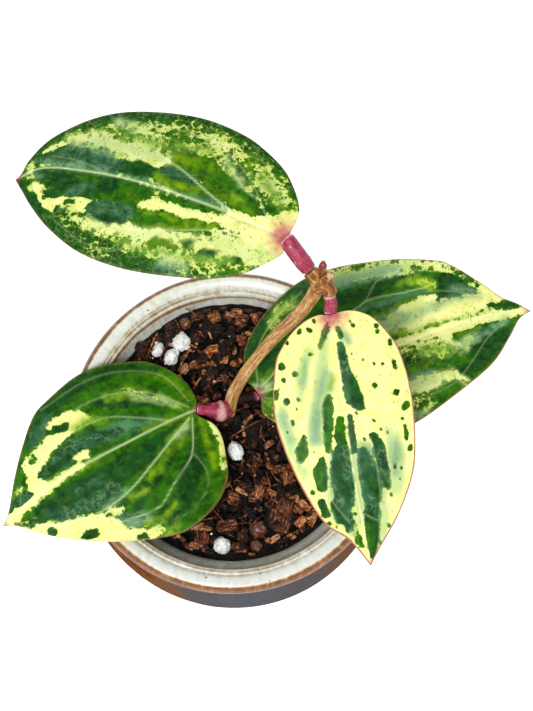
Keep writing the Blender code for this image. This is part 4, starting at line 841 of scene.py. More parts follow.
def smooth_noise(points, size, seed=0):
    """Noise from -1 to 1 whose features have this size. Points may be flat or in space."""
    points = np.asarray(points, float)
    if points.shape[-1] == 2:
        points = np.concatenate([points, np.zeros(points.shape[:-1] + (1,))], axis=-1)
    scaled = points / size
    base = np.floor(scaled).astype(np.int64)
    part = scaled - base
    part = part * part * (3.0 - 2.0 * part)
    total = 0.0
    for corner in itertools.product((0, 1), repeat=3):
        corner = np.array(corner)
        weight = np.prod(np.where(corner == 1, part, 1.0 - part), axis=-1)
        total = total + weight * lattice(base + corner, seed)
    return 2.0 * total - 1.0


def rough_noise(points, size, seed=0, octaves=3):
    """Noise with finer and finer features laid over each other."""
    total = 0.0
    for octave in range(octaves):
        total = total + smooth_noise(points, size / 2 ** octave, seed + 11 * octave) / 2 ** octave
    return total


def line_noise(run, size, seed):
    """Noise that changes along one direction only."""
    level = np.zeros_like(run)
    return smooth_noise(np.stack([run, level, level], -1), size, seed)


def grooves(run, angle, depth, stretch, reach, size, seed):
    """How far a tube's skin rises, in ridges drawn out along it."""
    skin = np.stack([run * stretch, reach * np.cos(angle), reach * np.sin(angle)], -1)
    return depth * rough_noise(skin, size, seed)


def fade(value, low, high):
    """0 at low and 1 at high, with soft ends."""
    share = np.clip((value - low) / (high - low), 0.0, 1.0)
    return share * share * (3.0 - 2.0 * share)


def even_angles(count):
    return 2 * math.pi * np.arange(count) / count


def polar(radius, angle):
    return radius * math.cos(angle), radius * math.sin(angle)


def lengths_along(curve):
    """Length of a polyline up to each of its points."""
    return np.concatenate([[0.0], np.cumsum(np.linalg.norm(np.diff(curve, axis=0), axis=1))])


def smooth_points(points, per_span=12):
    """Points along a smooth curve through the given ones."""
    given = np.array(points, float)
    padded = np.vstack([2 * given[0] - given[1], given, 2 * given[-1] - given[-2]])
    found = []
    for before, start, end, after in zip(padded, padded[1:], padded[2:], padded[3:]):
        for t in np.arange(per_span) / per_span:
            found.append(
                0.5 * (2 * start + (end - before) * t
                       + (2 * before - 5 * start + 4 * end - after) * t ** 2
                       + (3 * start - before - 3 * end + after) * t ** 3)
            )
    found.append(given[-1])
    return np.array(found)


def at_lengths(curve, lengths, wanted):
    return np.stack([np.interp(wanted, lengths, curve[:, k]) for k in range(curve.shape[1])], axis=1)


def along(curve, shares):
    """Points of a polyline at these shares of its length."""
    lengths = lengths_along(curve)
    return at_lengths(curve, lengths, np.array(shares) * lengths[-1])


def distance_to_line(points, line):
    """Distance of flat points to a polyline, less its half width, which is its third column."""
    line = np.array(line, float)
    nearest = np.full(len(points), np.inf)
    for start, end in zip(line, line[1:]):
        span = end[:2] - start[:2]
        share = np.clip((points - start[:2]) @ span / max(span @ span, 1e-9), 0.0, 1.0)
        distance = np.linalg.norm(points - start[:2] - share[:, None] * span, axis=1)
        nearest = np.minimum(nearest, distance - (start[2] + share * (end[2] - start[2])))
    return nearest


# Pieces

def piece(name, points, faces, material, replaced, values=None, sharp_degrees=None):
    """One mesh object in metres from points in millimetres, riding on the body and dressed."""
    mesh = bpy.data.meshes.new(name)
    mesh.from_pydata((np.asarray(points, float) * MM).tolist(), [], faces)
    shape = bmesh.new()
    shape.from_mesh(mesh)
    bmesh.ops.recalc_face_normals(shape, faces=shape.faces)
    shape.to_mesh(mesh)
    shape.free()
    for key, given in (values or {}).items():
        given = np.asarray(given, np.float32)
        kind, field = ("FLOAT", "value") if given.ndim == 1 else ("FLOAT_VECTOR", "vector")
        mesh.attributes.new(key, kind, "POINT").data.foreach_set(field, given.ravel())
    mesh.materials.append(material)
    smooth(mesh, sharp_degrees)
    obj = bpy.data.objects.new(name, mesh)
    bpy.context.scene.collection.objects.link(obj)
    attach(obj, "root")
    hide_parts(replaced)
    return obj


def smooth(mesh, sharp_degrees):
    """Smooth shading, with edges over this angle kept sharp."""
    mesh.shade_smooth()
    if sharp_degrees:
        mesh.set_sharp_from_angle(angle=math.radians(sharp_degrees))


def arrays(shape):
    """Points and faces of a bmesh, which is freed."""
    points = np.array([vertex.co[:] for vertex in shape.verts])
    faces = [tuple(vertex.index for vertex in face.verts) for face in shape.faces]
    shape.free()
    return points, faces


def cube_grid(cuts):
    """A cube from -1 to 1 on each side with an even grid on its faces."""
    shape = bmesh.new()
    bmesh.ops.create_cube(shape, size=2.0)
    bmesh.ops.subdivide_edges(shape, edges=shape.edges, cuts=cuts, use_grid_fill=True)
    return arrays(shape)


def ball_grid():
    """A ball of radius 1 with even triangles."""
    shape = bmesh.new()
    bmesh.ops.create_icosphere(shape, subdivisions=BALL_SPLITS, radius=1.0)
    return arrays(shape)


def same(points, **given):
    """One value for all the points, for each name."""
    return {name: np.full(len(points), value) for name, value in given.items()}


def merged(shapes):
    """One list of points, faces and values from several."""
    points, faces, values, start = [], [], {}, 0
    for shape_points, shape_faces, shape_values in shapes:
        points.append(shape_points)
        faces += [tuple(n + start for n in face) for face in shape_faces]
        for key, given in shape_values.items():
            values.setdefault(key, []).append(given)
        start += len(shape_points)
    return np.vstack(points), faces, {key: np.concatenate(given) for key, given in values.items()}


def grid_faces(rows, columns, wrap=False):
    """Faces of a grid of points that is stored row by row."""
    faces = []
    for row in range(rows - 1):
        for column in range(columns if wrap else columns - 1):
            after = (column + 1) % columns
            a, b = row * columns + column, row * columns + after
            faces.append((a, b, b + columns, a + columns))
    return faces


def closed_faces(count, sides):
    """Faces of stacked rings that are closed by two points after them, at the first and last ring."""
    faces = grid_faces(count, sides, wrap=True)
    first, last = count * sides, (count - 1) * sides
    for side in range(sides):
        after = (side + 1) % sides
        faces.append((first, after, side))
        faces.append((first + 1, last + side, last + after))
    return faces


def capped_rings(rings):
    """Points and faces of a closed tube from its rings, an array of ring, side and coordinate."""
    count, sides, _ = rings.shape
    points = np.vstack([rings.reshape(-1, 3), rings[0].mean(axis=0), rings[-1].mean(axis=0)])
    return points, closed_faces(count, sides)


def swept(path, radii, sides, steps, swell=None, dome=(0.0, 0.0)):
    """A closed tube on a smooth path. swell(run, angle) changes its radius, in millimetres.
    dome rounds each end over this length. Gives points, faces and the values run and turn."""
    curve = smooth_points(path)
    shares = np.linspace(0.0, 1.0, steps + 1)
    centres = along(curve, shares)
    length = float(np.linalg.norm(np.diff(curve, axis=0), axis=1).sum())
    widths = np.interp(shares, np.linspace(0.0, 1.0, len(radii)), radii)
    run = shares * length
    for reach, distance in ((dome[0], run), (dome[1], length - run)):
        if reach:
            widths = widths * np.sqrt(1.0 - (1.0 - np.clip(distance / reach, 0.02, 1.0)) ** 2)
    angles = even_angles(sides)
    across = Vector((0.0, 1.0, 0.0))
    rings = []
    for index, centre in enumerate(centres):
        ahead = centres[min(index + 1, steps)]
        behind = centres[max(index - 1, 0)]
        direction = Vector(ahead - behind).normalized()
        across = (across - direction * across.dot(direction)).normalized()
        upright = direction.cross(across)
        reach = np.full(sides, widths[index])
        if swell:
            reach = reach + swell(np.full(sides, run[index]), angles) * min(1.0, widths[index])
        rings.append(centre + reach[:, None] * (
            np.cos(angles)[:, None] * np.array(across) + np.sin(angles)[:, None] * np.array(upright)))
    points, faces = capped_rings(np.array(rings))
    runs = np.concatenate([np.repeat(run, sides), [0.0, length]])
    turns = np.concatenate([np.tile(angles, steps + 1), [0.0, 0.0]])
    return points, faces, {"run": runs, "turn": turns}


# Materials

def screen(colour):
    """A screen colour from 0 to 255 as the linear values that Blender takes."""
    shares = np.asarray(colour, float) / 255.0
    return np.where(shares <= 0.04045, shares / 12.92, ((shares + 0.055) / 1.055) ** 2.4)


def rgba(colour):
    return (*[float(value) for value in screen(colour)], 1.0)


class Look:
    """A node material being built."""

    def __init__(self, name, **constants):
        self.material = bpy.data.materials.new(name)
        self.material.use_nodes = True
        self.nodes = self.material.node_tree.nodes
        self.links = self.material.node_tree.links
        self.shader = self.nodes["Principled BSDF"]
        for key, value in constants.items():
            self.shader.inputs[key.replace("_", " ")].default_value = value

    def put(self, socket, value):
        if isinstance(value, bpy.types.NodeSocket):
            self.links.new(value, socket)
        else:
            socket.default_value = value

    def node(self, kind, output, inputs, **settings):
        made = self.nodes.new(kind)
        for key, value in settings.items():
            setattr(made, key, value)
        for key, value in inputs.items():
            self.put(made.inputs[key], value)
        return made.outputs[output]

    def value(self, name):
        return self.node("ShaderNodeAttribute", "Fac", {}, attribute_name=name)

    def vector(self, name):
        return self.node("ShaderNodeAttribute", "Vector", {}, attribute_name=name)

    def place(self):
        """Object coordinates in millimetres."""
        where = self.node("ShaderNodeTexCoord", "Object", {})
        return self.stretch(where, (1.0 / MM, 1.0 / MM, 1.0 / MM))

    def stretch(self, vector, factors):
        return self.node("ShaderNodeVectorMath", 0, {0: vector, 1: factors}, operation="MULTIPLY")

    def join(self, x, y, z=0.0):
        return self.node("ShaderNodeCombineXYZ", 0, {0: x, 1: y, 2: z})

    def tube(self, run, turn, along_factor, round_factor):
        """Coordinates on a tube's skin, which meet themselves where its turn ends."""
        side = self.times(self.maths("SINE", turn), round_factor)
        front = self.times(self.maths("COSINE", turn), round_factor)
        return self.join(self.times(run, along_factor), side, front)

    def moved(self, vector, size, amount):
        """The vector pushed about by noise."""
        inputs = {"Vector": vector, "Scale": 1.0 / size, "Detail": 2.0}
        push = self.node("ShaderNodeTexNoise", "Color", inputs)
        half = {0: push, 1: (0.5, 0.5, 0.5)}
        centred = self.node("ShaderNodeVectorMath", 0, half, operation="SUBTRACT")
        scaled = self.stretch(centred, (amount * 2, amount * 2, amount * 2))
        return self.node("ShaderNodeVectorMath", 0, {0: vector, 1: scaled}, operation="ADD")

    def noise(self, vector, size, detail=3.0, roughness=0.5):
        inputs = {"Vector": vector, "Scale": 1.0 / size, "Detail": detail, "Roughness": roughness}
        return self.node("ShaderNodeTexNoise", "Fac", inputs)

    def cells(self, vector, size, output="Distance", feature="F1"):
        inputs = {"Vector": vector, "Scale": 1.0 / size}
        return self.node("ShaderNodeTexVoronoi", output, inputs, feature=feature)

    def maths(self, operation, first, second=0.0, clamped=False):
        inputs = {0: first, 1: second}
        return self.node("ShaderNodeMath", 0, inputs, operation=operation, use_clamp=clamped)

    def plus(self, first, second, clamped=False):
        return self.maths("ADD", first, second, clamped)

    def minus(self, first, second):
        return self.maths("SUBTRACT", first, second)

    def times(self, first, second):
        return self.maths("MULTIPLY", first, second)

    def swing(self, value, amount):
        """Noise from 0 to 1 as a value about zero that spans this amount."""
        return self.times(self.minus(value, 0.5), amount)

    def part(self, value, low, high, bottom=0.0, top=1.0):
        """The value's place between low and high, with soft ends."""
        inputs = {"Value": value, "From Min": low, "From Max": high, "To Min": bottom, "To Max": top}
        return self.node("ShaderNodeMapRange", 0, inputs, interpolation_type="SMOOTHSTEP")

    def mix(self, share, first, second, blend="MIX"):
        made = self.nodes.new("ShaderNodeMix")
        made.data_type = "RGBA"
        made.blend_type = blend
        for index, value in ((0, share), (6, first), (7, second)):
            self.put(made.inputs[index], rgba(value) if isinstance(value, tuple) else value)
        return made.outputs[2]

    def ramp(self, value, stops):
        made = self.nodes.new("ShaderNodeValToRGB")
        elements = made.color_ramp.elements
        while len(elements) < len(stops):
            elements.new(0.5)
        for element, (position, colour) in zip(elements, stops):
            element.position = position
            element.color = rgba(colour)
        self.links.new(value, made.inputs[0])
        return made.outputs[0]

    def red(self, colour):
        return self.node("ShaderNodeSeparateColor", 0, {0: colour})

    def bump(self, height, depth, under=None):
        """A bump of this depth in millimetres, over another one where that is given."""
        inputs = {"Height": height, "Distance": depth * MM, "Strength": 1.0}
        if under:
            inputs["Normal"] = under
        return self.node("ShaderNodeBump", 0, inputs)

    def finish(self, colour, roughness, normal):
        for name, value in (("Base Color", colour), ("Roughness", roughness), ("Normal", normal)):
            self.put(self.shader.inputs[name], value)
        return self.material


def glaze_look(name, specular, coat, smoothest):
    """Pale glaze that breaks brown on the lip, and blue-grey with brown runs on the body."""
    look = Look(name, IOR=1.5, Specular_IOR_Level=specular, Coat_Weight=coat, Coat_Roughness=0.12)
    place = look.place()
    run, turn, rust = look.value("run"), look.value("turn"), look.value("rust")
    streaks = look.noise(look.join(look.times(turn, 26.0), look.times(run, 0.25)), 1.0, 4.0, 0.6)
    blots = look.noise(place, 5.0, 4.0, 0.6)
    grains = look.noise(place, 0.7, 2.0, 0.6)
    ragged = look.plus(look.swing(streaks, 1.0), look.swing(blots, 0.45))
    ragged = look.plus(ragged, look.swing(grains, 0.22))
    amount = look.plus(rust, look.times(ragged, look.part(rust, 0.0, 0.5, 0.45, 1.0)), True)
    lip = look.ramp(amount, LIP_GLAZE)
    drips = look.noise(look.join(look.times(turn, 7.0), look.times(run, 0.05)), 1.0, 4.0, 0.6)
    flow = look.plus(look.value("brown"), look.swing(drips, 1.3))
    flow = look.plus(flow, look.swing(blots, 0.6), True)
    blotches = look.part(look.noise(place, 1.1, 3.0, 0.7), 0.58, 0.8)
    wall = look.mix(blotches, look.ramp(flow, BODY_GLAZE), BODY_BLOTCH)
    colour = look.mix(look.value("body"), lip, wall)
    specks = look.part(look.cells(place, 4.2), 0.1, 0.05)
    specks = look.times(specks, look.part(look.noise(place, 9.0), 0.5, 0.6))
    colour = look.mix(specks, colour, GLAZE_SPECK)
    colour = look.mix(look.value("bare"), colour, BARE_CLAY)
    waves = look.noise(look.join(run, look.times(turn, 1.2)), 0.9, 3.0, 0.6)
    normal = look.bump(grains, 0.03, look.bump(waves, 0.12))
    return look.finish(colour, look.part(amount, 0.2, 0.8, smoothest, smoothest + 0.18), normal)


def bark_look():
    """Fibrous bark, as light and rusty as each chip's own values, with painted shade low in the mix and
    painted glints.
    """
    look = Look("bark", IOR=1.45, Specular_IOR_Level=0.4)
    local = look.vector("local")
    fibrous = look.noise(look.stretch(local, (0.35, 2.4, 2.4)), 1.0, 6.0, 0.7)
    lumps = look.noise(local, 1.5, 4.0, 0.6)
    fine = look.noise(local, 0.32, 3.0, 0.65)
    level = look.plus(look.plus(look.value("tone"), look.swing(fibrous, 2.2)), look.swing(lumps, 1.0))
    # Painted shade: the lower a point lies under the mix's surface, the darker its bark.
    level = look.times(look.plus(level, 0.0, True), look.part(look.value("up"), -0.9, 1.3, 0.1, 1.0))
    colour = look.mix(look.value("rust"), look.ramp(level, BROWN_BARK), look.ramp(level, ORANGE_BARK))
    # Painted glints: small spots of highlight colour on the lighter bark.
    glints = look.times(look.part(fine, 0.6, 0.7), look.part(level, 0.3, 0.6))
    colour = look.mix(glints, colour, BARK_GLINT)
    normal = look.bump(look.plus(fibrous, look.times(fine, 0.5)), 0.7)
    return look.finish(colour, look.part(lumps, 0.4, 0.62, 0.3, 0.7), normal)


def perlite_look():
    look = Look("perlite", IOR=1.4)
    place = look.place()
    pores = look.cells(place, 0.7)
    lumps = look.noise(place, 1.2, 4.0, 0.6)
    dirt = look.noise(place, 0.9, 3.0, 0.6)
    white = look.ramp(lumps, PERLITE_WHITE)
    colour = look.mix(look.part(pores, 0.16, 0.05, 0.0, 0.7), white, PERLITE_PORE)
    colour = look.mix(look.part(dirt, 0.66, 0.78, 0.0, 0.75), colour, PERLITE_DIRT)
    return look.finish(colour, 0.85, look.bump(look.plus(lumps, look.part(pores, 0.0, 0.3)), 0.3))


def clay_look():
    look = Look("clay", IOR=1.5, Coat_Weight=0.7, Coat_Roughness=0.14)
    place = look.place()
    blots = look.noise(place, 1.3, 4.0, 0.65)
    fine = look.noise(place, 0.36, 4.0, 0.65)
    # Painted highlights: pale patches where the fine noise is high.
    colour = look.mix(look.part(fine, 0.58, 0.72), look.ramp(blots, CLAY_BROWN), CLAY_PAINTED_HIGHLIGHT)
    colour = look.mix(look.part(fine, 0.42, 0.3), colour, CLAY_DARK)
    return look.finish(colour, 0.4, look.bump(look.plus(blots, fine), 0.45))


def wood_look():
    """Tan bark with grain and pores along the stem, lumpier on the node, and the pale cut face."""
    look = Look("wood", IOR=1.45)
    run, turn, knot = look.value("run"), look.value("turn"), look.value("knot")
    place = look.place()
    grain = look.noise(look.tube(run, turn, 0.16, 2.6), 1.0, 5.0, 0.62)
    fine = look.noise(look.tube(run, turn, 0.5, 9.0), 1.0, 4.0, 0.6)
    blots = look.noise(place, 3.2, 4.0, 0.6)
    level = look.plus(look.times(grain, 0.6), look.times(fine, 0.4))
    bark = look.mix(look.part(blots, 0.5, 0.72, 0.0, 0.45), look.ramp(level, STEM_BARK), STEM_BLOT)
    lenticels = look.cells(look.join(look.times(run, 0.34), look.times(turn, 0.9)), 1.0)
    bark = look.mix(look.part(lenticels, 0.16, 0.09, 0.0, 0.8), bark, LENTICEL)
    lumps = look.noise(look.tube(run, turn, 0.55, 2.4), 1.3, 4.0, 0.6)
    colour = look.mix(knot, bark, look.ramp(lumps, NODE_BARK))
    colour = look.mix(look.value("cut"), colour, look.ramp(look.noise(place, 0.6, 3.0), CUT_FACE))
    return look.finish(colour, 0.62, look.bump(look.plus(level, look.times(lumps, knot)), 0.4))


def petiole_look(name, specular):
    """Pink stalk with streaks and specks, and the values that stalks differ by laid over them, with
    painted shade, highlight and shadow.
    """
    look = Look(name, IOR=1.45, Specular_IOR_Level=specular)
    place = look.place()
    streaks = look.noise(look.tube(look.value("run"), look.value("turn"), 0.3, 2.2), 1.0, 4.0, 0.6)
    fine = look.noise(place, 0.35, 3.0, 0.6)
    pale = look.value("pale")
    layers = (
        (look.part(look.cells(place, 0.85), 0.16, 0.08, 0.0, 0.6), STALK_SPECK),
        (look.value("deep"), STALK_DEEP),
        # the callus, the painted highlight band and pale flecks
        (look.plus(pale, look.swing(fine, pale), True), STALK_CALLUS_AND_HIGHLIGHT),
        # painted shade on the lower side of each stalk
        (look.part(look.value("up"), 0.55, -0.2, 0.0, 0.8), STALK_UNDERSIDE_SHADE),
        (look.value("dark"), STALK_SHEATH),
        # painted shadow over a shaded stalk
        (look.value("olive"), STALK_SHADE),
    )
    colour = look.ramp(streaks, STALK_PINK)
    for share, over in layers:
        colour = look.mix(share, colour, over)
    return look.finish(colour, 0.42, look.bump(look.plus(streaks, look.times(fine, 0.4)), 0.18))


def bud_look():
    look = Look("bud", IOR=1.45)
    scales = look.noise(look.place(), 0.5, 4.0, 0.6)
    return look.finish(look.ramp(scales, BUD_RED), 0.5, look.bump(scales, 0.25))


def blobs(look, vector, size, green, spread, gain, wander):
    """Round cells that are green where their share of green is high, and run together."""
    chance = look.times(look.red(look.cells(vector, size, "Color")), spread)
    reach = look.minus(look.times(green, gain), chance)
    reach = look.plus(look.plus(reach, look.part(green, 0.88, 1.0, 0.0, 1.2)), wander)
    return look.part(look.minus(reach, look.cells(vector, size)), -0.3, 0.2)


def green_colour(look, place, moved, blots, fine):
    """A patch's green with darker clouds and cells, lighter streaks and a pale net."""
    tint = look.vector("tint")
    darker = look.mix(1.0, tint, GREEN_DARKER, "MULTIPLY")
    streaks = look.noise(look.stretch(place, (0.7, 1.1, 1.0)), 2.0, 5.0, 0.65)
    cell = look.red(look.cells(moved, LARGE_CELL, "Color"))
    colour = look.mix(look.part(blots, 0.58, 0.36), tint, darker)
    lighter = look.mix(0.3, tint, GREEN_LIGHTER)
    colour = look.mix(look.part(streaks, 0.48, 0.72, 0.0, 0.4), colour, lighter)
    colour = look.mix(look.part(fine, 0.6, 0.8, 0.0, 0.25), colour, GREEN_GRAIN)
    colour = look.mix(look.times(cell, 0.4), colour, darker)
    border = look.part(look.cells(moved, LARGE_CELL, "Distance", "DISTANCE_TO_EDGE"), 0.12, 0.02)
    patchy = look.part(look.noise(place, 4.0, 2.0), 0.42, 0.6)
    net = look.times(look.times(border, look.value("net")), patchy)
    return look.mix(net, colour, look.mix(0.6, tint, GREEN_NET))


def pale_colour(look, place, moved, blots, fine):
    """A patch's cream with warmer blots, greener clouds, freckles and dots."""
    ground, freckle = look.vector("ground"), look.value("freckle")
    warmer = look.mix(1.0, ground, CREAM_WARMER, "MULTIPLY")
    clouds = look.times(look.part(look.noise(place, 5.5, 4.0, 0.65), 0.46, 0.68), freckle)
    freckles = look.part(look.cells(moved, 3.4), 0.13, 0.07, 0.0, 0.8)
    dots = look.times(look.part(look.cells(moved, 1.9), 0.27, 0.14), freckle)
    layers = (
        (look.part(blots, 0.42, 0.66, 0.0, 0.8), warmer),
        (look.part(fine, 0.56, 0.8, 0.0, 0.3), CREAM_GRAIN),
        (look.part(look.value("green"), 0.2, 0.8, 0.0, 0.5), CREAM_GREENER),
        (look.times(clouds, 0.8), CREAM_CLOUD),
        (look.times(freckles, look.part(look.noise(place, 7.0), 0.48, 0.56)), CREAM_FRECKLE),
        (look.times(dots, look.part(look.noise(place, 4.5), 0.42, 0.54)), CREAM_DOT),
    )
    colour = ground
    for share, over in layers:
        colour = look.mix(share, colour, over)
    return colour


def leaf_look():
    """Green cells on a pale ground. The patches come as values, and the cells are made here."""
    look = Look("leaf", IOR=1.45, Specular_IOR_Level=0.12, Coat_Weight=0.03, Coat_Roughness=0.3)
    place = look.vector("local")
    green, vein = look.value("green"), look.value("vein")
    moved = look.moved(look.moved(place, 1.9, 1.1), 0.6, 0.32)
    drift = look.swing(look.noise(place, 2.6, 4.0, 0.65), 1.5)
    large = blobs(look, moved, LARGE_CELL, green, 0.5, 1.12, drift)
    small = blobs(look, moved, SMALL_CELL, green, 0.8, 1.0, look.times(drift, 0.5))
    inside = look.maths("MAXIMUM", large, small)
    blots = look.noise(place, 3.4, 4.0, 0.62)
    fine = look.noise(place, 0.45, 3.0, 0.65)
    leafy = green_colour(look, place, moved, blots, fine)
    colour = pale_colour(look, place, moved, blots, fine)
    lines = look.mix(inside, VEIN_ON_CREAM, VEIN_ON_GREEN)
    edge = look.plus(look.value("edge"), look.times(look.noise(place, 2.2), 0.5))
    layers = (
        (look.part(inside, 0.0, 0.6), look.mix(0.4, leafy, CELL_BORDER)),
        (look.part(inside, 0.35, 1.0), leafy),
        (look.times(vein, 0.25), lines),
        (look.part(vein, 0.16, 0.95, 0.0, 0.72), lines),
        (look.value("blush"), LEAF_BLUSH),
        (look.times(look.part(edge, 0.9, 0.5), look.value("edge_line")), LEAF_MARGIN),
    )
    for share, over in layers:
        colour = look.mix(share, colour, over)
    colour = look.mix(look.value("under"), colour, look.mix(0.5, colour, LEAF_BACK))
    height = look.plus(look.times(fine, 0.3), blots)
    return look.finish(colour, look.part(blots, 0.3, 0.7, 0.36, 0.5), look.bump(height, 0.14))


# Pot

def pot_profile():
    """The profile as radius and height, finer near the lip, and each point's distance from the crest."""
    lip = [(RIM_RADIUS - inwards, RIM_HEIGHT - down) for inwards, down in POT_LIP]
    curve = smooth_points([*POT_INSIDE, *lip, *POT_OUTSIDE], 8)
    lengths = lengths_along(curve)
    crest = lengths[np.argmax(curve[:, 1])]
    density = np.where(np.abs(lengths - crest) < LIP_ZONE, LIP_DENSITY, 1.0)
    passed = np.concatenate([[0.0], np.cumsum(np.diff(lengths) * density[1:])])
    wanted = np.interp(np.arange(0.0, passed[-1], POT_STEP), passed, lengths)
    wanted = np.append(wanted, lengths[-1])
    return at_lengths(curve, lengths, wanted), wanted - crest


def pot():
    """The wall, the floor and the foot as one turned form with uneven faces."""
    profile, run = pot_profile()
    turns, runs = np.meshgrid(even_angles(POT_SEGMENTS), run)
    around = np.stack([np.cos(turns) * 30.0, np.sin(turns) * 30.0, runs * 0.4], axis=-1)
    rings = THROWING_RINGS * line_noise(runs, 2.2, 3)
    uneven = POT_UNEVEN * smooth_noise(around, 9.0, 5)
    radius = profile[:, 0][:, None] - np.abs(rings) - np.abs(uneven)
    height = np.repeat(profile[:, 1][:, None], POT_SEGMENTS, axis=1)
    grid = np.stack([radius * np.cos(turns), radius * np.sin(turns), height], axis=-1)
    points = np.vstack([grid.reshape(-1, 3), (0.0, 0.0, FLOOR_HEIGHT), (0.0, 0.0, 0.0)])
    faces = closed_faces(len(profile), POT_SEGMENTS)
    rust = np.interp(runs + 0.25 * smooth_noise(around, 6.0, 8), *zip(*GLAZE_BREAKS))
    rust = rust + 0.12 * smooth_noise(around, 14.0, 2) * (rust > 0.15)
    brown = np.interp(np.degrees(turns), *zip(*BODY_BROWN))
    bare = fade(height, *BARE_FOOT) * (runs > FOOT_RUN)
    values = {
        "run": np.append(runs.ravel(), [run[0], run[-1]]),
        "turn": np.append(turns.ravel(), [0.0, 0.0]),
        "rust": np.append(rust.ravel(), [0.1, 0.1]),
        "body": np.append(fade(runs, *BODY_START).ravel(), [0.0, 1.0]),
        "brown": np.append(brown.ravel(), [0.0, 0.0]),
        "bare": np.append(bare.ravel(), [0.0, 1.0]),
    }
    lip_glaze = glaze_look("glaze_lip", 0.5, 0.2, 0.24)
    obj = piece("pot_glazed", points, faces, lip_glaze, "pot", values, POT_SHARP_DEGREES)
    cut_drains(obj)
    obj.data.materials.append(glaze_look("glaze_body", 0.0, 0.0, 0.5))
    for face in obj.data.polygons:
        outward = face.normal.x * face.center.x + face.normal.y * face.center.y > 0.0
        if face.center.z < BODY_HEIGHT * MM and (outward or face.center.z < FOOT_BAND * MM):
            face.material_index = 1


def drain_cutter(number):
    angle = 2 * math.pi * (number + 0.25) / DRAIN_COUNT
    radius = DRAIN_RADIUS * MM
    shape = bmesh.new()
    bmesh.ops.create_cone(shape, cap_ends=True, segments=DRAIN_SIDES, radius1=radius, radius2=radius,
                          depth=4 * FLOOR_HEIGHT * MM)
    bmesh.ops.translate(shape, vec=(*polar(DRAIN_CIRCLE * MM, angle), 0.0), verts=shape.verts)
    mesh = bpy.data.meshes.new("drain")
    shape.to_mesh(mesh)
    shape.free()
    cutter = bpy.data.objects.new(f"drain_{number}", mesh)
    bpy.context.scene.collection.objects.link(cutter)
    return cutter


def cut_drains(obj):
    """Cuts the drain holes, and gives the new points under the foot its bare clay."""
    cutters = [drain_cutter(number) for number in range(DRAIN_COUNT)]
    for cutter in cutters:
        modifier = obj.modifiers.new(cutter.name, "BOOLEAN")
        modifier.operation = "DIFFERENCE"
        modifier.solver = "EXACT"
        modifier.object = cutter
    bpy.context.view_layer.update()
    graph = bpy.context.evaluated_depsgraph_get()
    made = bpy.data.meshes.new_from_object(obj.evaluated_get(graph))
    obj.modifiers.clear()
    smooth(made, POT_SHARP_DEGREES)
    for vertex in made.vertices:
        if vertex.co.z < FOOT_FACE * MM:
            for name in ("bare", "body"):
                made.attributes[name].data[vertex.index].value = 1.0
    obj.data = made
    for cutter in cutters:
        bpy.data.objects.remove(cutter)


# Potting mix

def inner_radius(height):
    """Radius of the pot's inner wall at a height."""
    return float(np.interp(height, [h for _, h in POT_INSIDE], [r for r, _ in POT_INSIDE]))


def soil_level(x, y):
    """Height of the mix's surface without its lumps. It rises towards the back."""
    return SOIL_HEIGHT + SOIL_SLOPE * y


def on_soil(x, y, level):
    """A point this far over the mix's surface."""
    return x, y, soil_level(x, y) + level


def over_soil(points):
    """How high each point lies over the mix's surface."""
    return points[:, 2] - soil_level(points[:, 0], points[:, 1])


def mix_edge(angle):
    """Radius and height of the mix's surface at the wall, in a direction from the pot's axis."""
    radius = inner_radius(SOIL_HEIGHT)
    for _ in range(EDGE_ROUNDS):
        height = soil_level(*polar(radius, angle))
        radius = inner_radius(height) - CLEARANCE
    return radius, height


def mix_bed(bark):
    """The mass under the chips, up the inner wall and over a dark, lumpy surface."""
    angles = even_angles(SOIL_SEGMENTS)
    across, away = np.cos(angles), np.sin(angles)
    radii, heights = np.array([mix_edge(angle) for angle in angles]).T
    rings = []
    for height in np.arange(FLOOR_HEIGHT + CLEARANCE, heights.min() - 1.0, BED_STEP):
        clear = inner_radius(height) - CLEARANCE
        rings.append(np.stack([clear * across, clear * away, np.full_like(angles, height)], -1))
    for share in np.linspace(1.0, 0.02, SOIL_RINGS):
        x, y = share * radii * across, share * radii * away
        lump = BED_LUMPS * rough_noise(np.stack([x, y], -1), 3.4, 21, 4)
        lump = lump - SOIL_SUNK * min(1.0, (1.0 - share) * 8)
        rings.append(np.stack([x, y, soil_level(x, y) + np.minimum(lump, BED_TOP)], -1))
    points, faces = capped_rings(np.array(rings))
    # The bed's height value is lowered by 0.4 mm, so the bark look paints it darker still, as shade
    # under the chips.
    values = {"local": points, "up": over_soil(points) - 0.4, **same(points, tone=0.06, rust=0.3)}
    piece("mix_bed", points, faces, bark, "potting_mix", values)


def chip_shape(cube, corners, size, turn, tilt, centre, tone, rust, seed, rough=0.5):
    """A block of bark: its eight corners give the form, its edges are worn and its faces split."""
    grid, faces = cube
    reach = np.linalg.norm(grid, axis=1, keepdims=True)
    worn = grid * (0.55 + 0.45 * (np.max(np.abs(grid), axis=1, keepdims=True) / reach))
    local = np.zeros_like(worn)
    for corner, place in corners.items():
        share = np.prod((1.0 + worn * np.array(corner)) / 2.0, axis=1)
        local += share[:, None] * np.array(place)
    local = local * np.array(size)
    split = rough_noise(local * (0.4, 1.5, 1.5) + seed * 3.1, 1.1, seed)
    lumps = rough_noise(local + seed * 5.3, 2.2, seed + 1, 2)
    depth = min(size)
    shaped = local + grid / reach * depth * rough * (0.16 * split + 0.14 * lumps - 0.04)[:, None]
    matrix = np.array(Euler((*tilt, turn)).to_matrix())
    points = shaped @ matrix.T + np.array(centre)
    return points, faces, {"local": local + seed * 7.0, **same(points, tone=tone, rust=rust)}


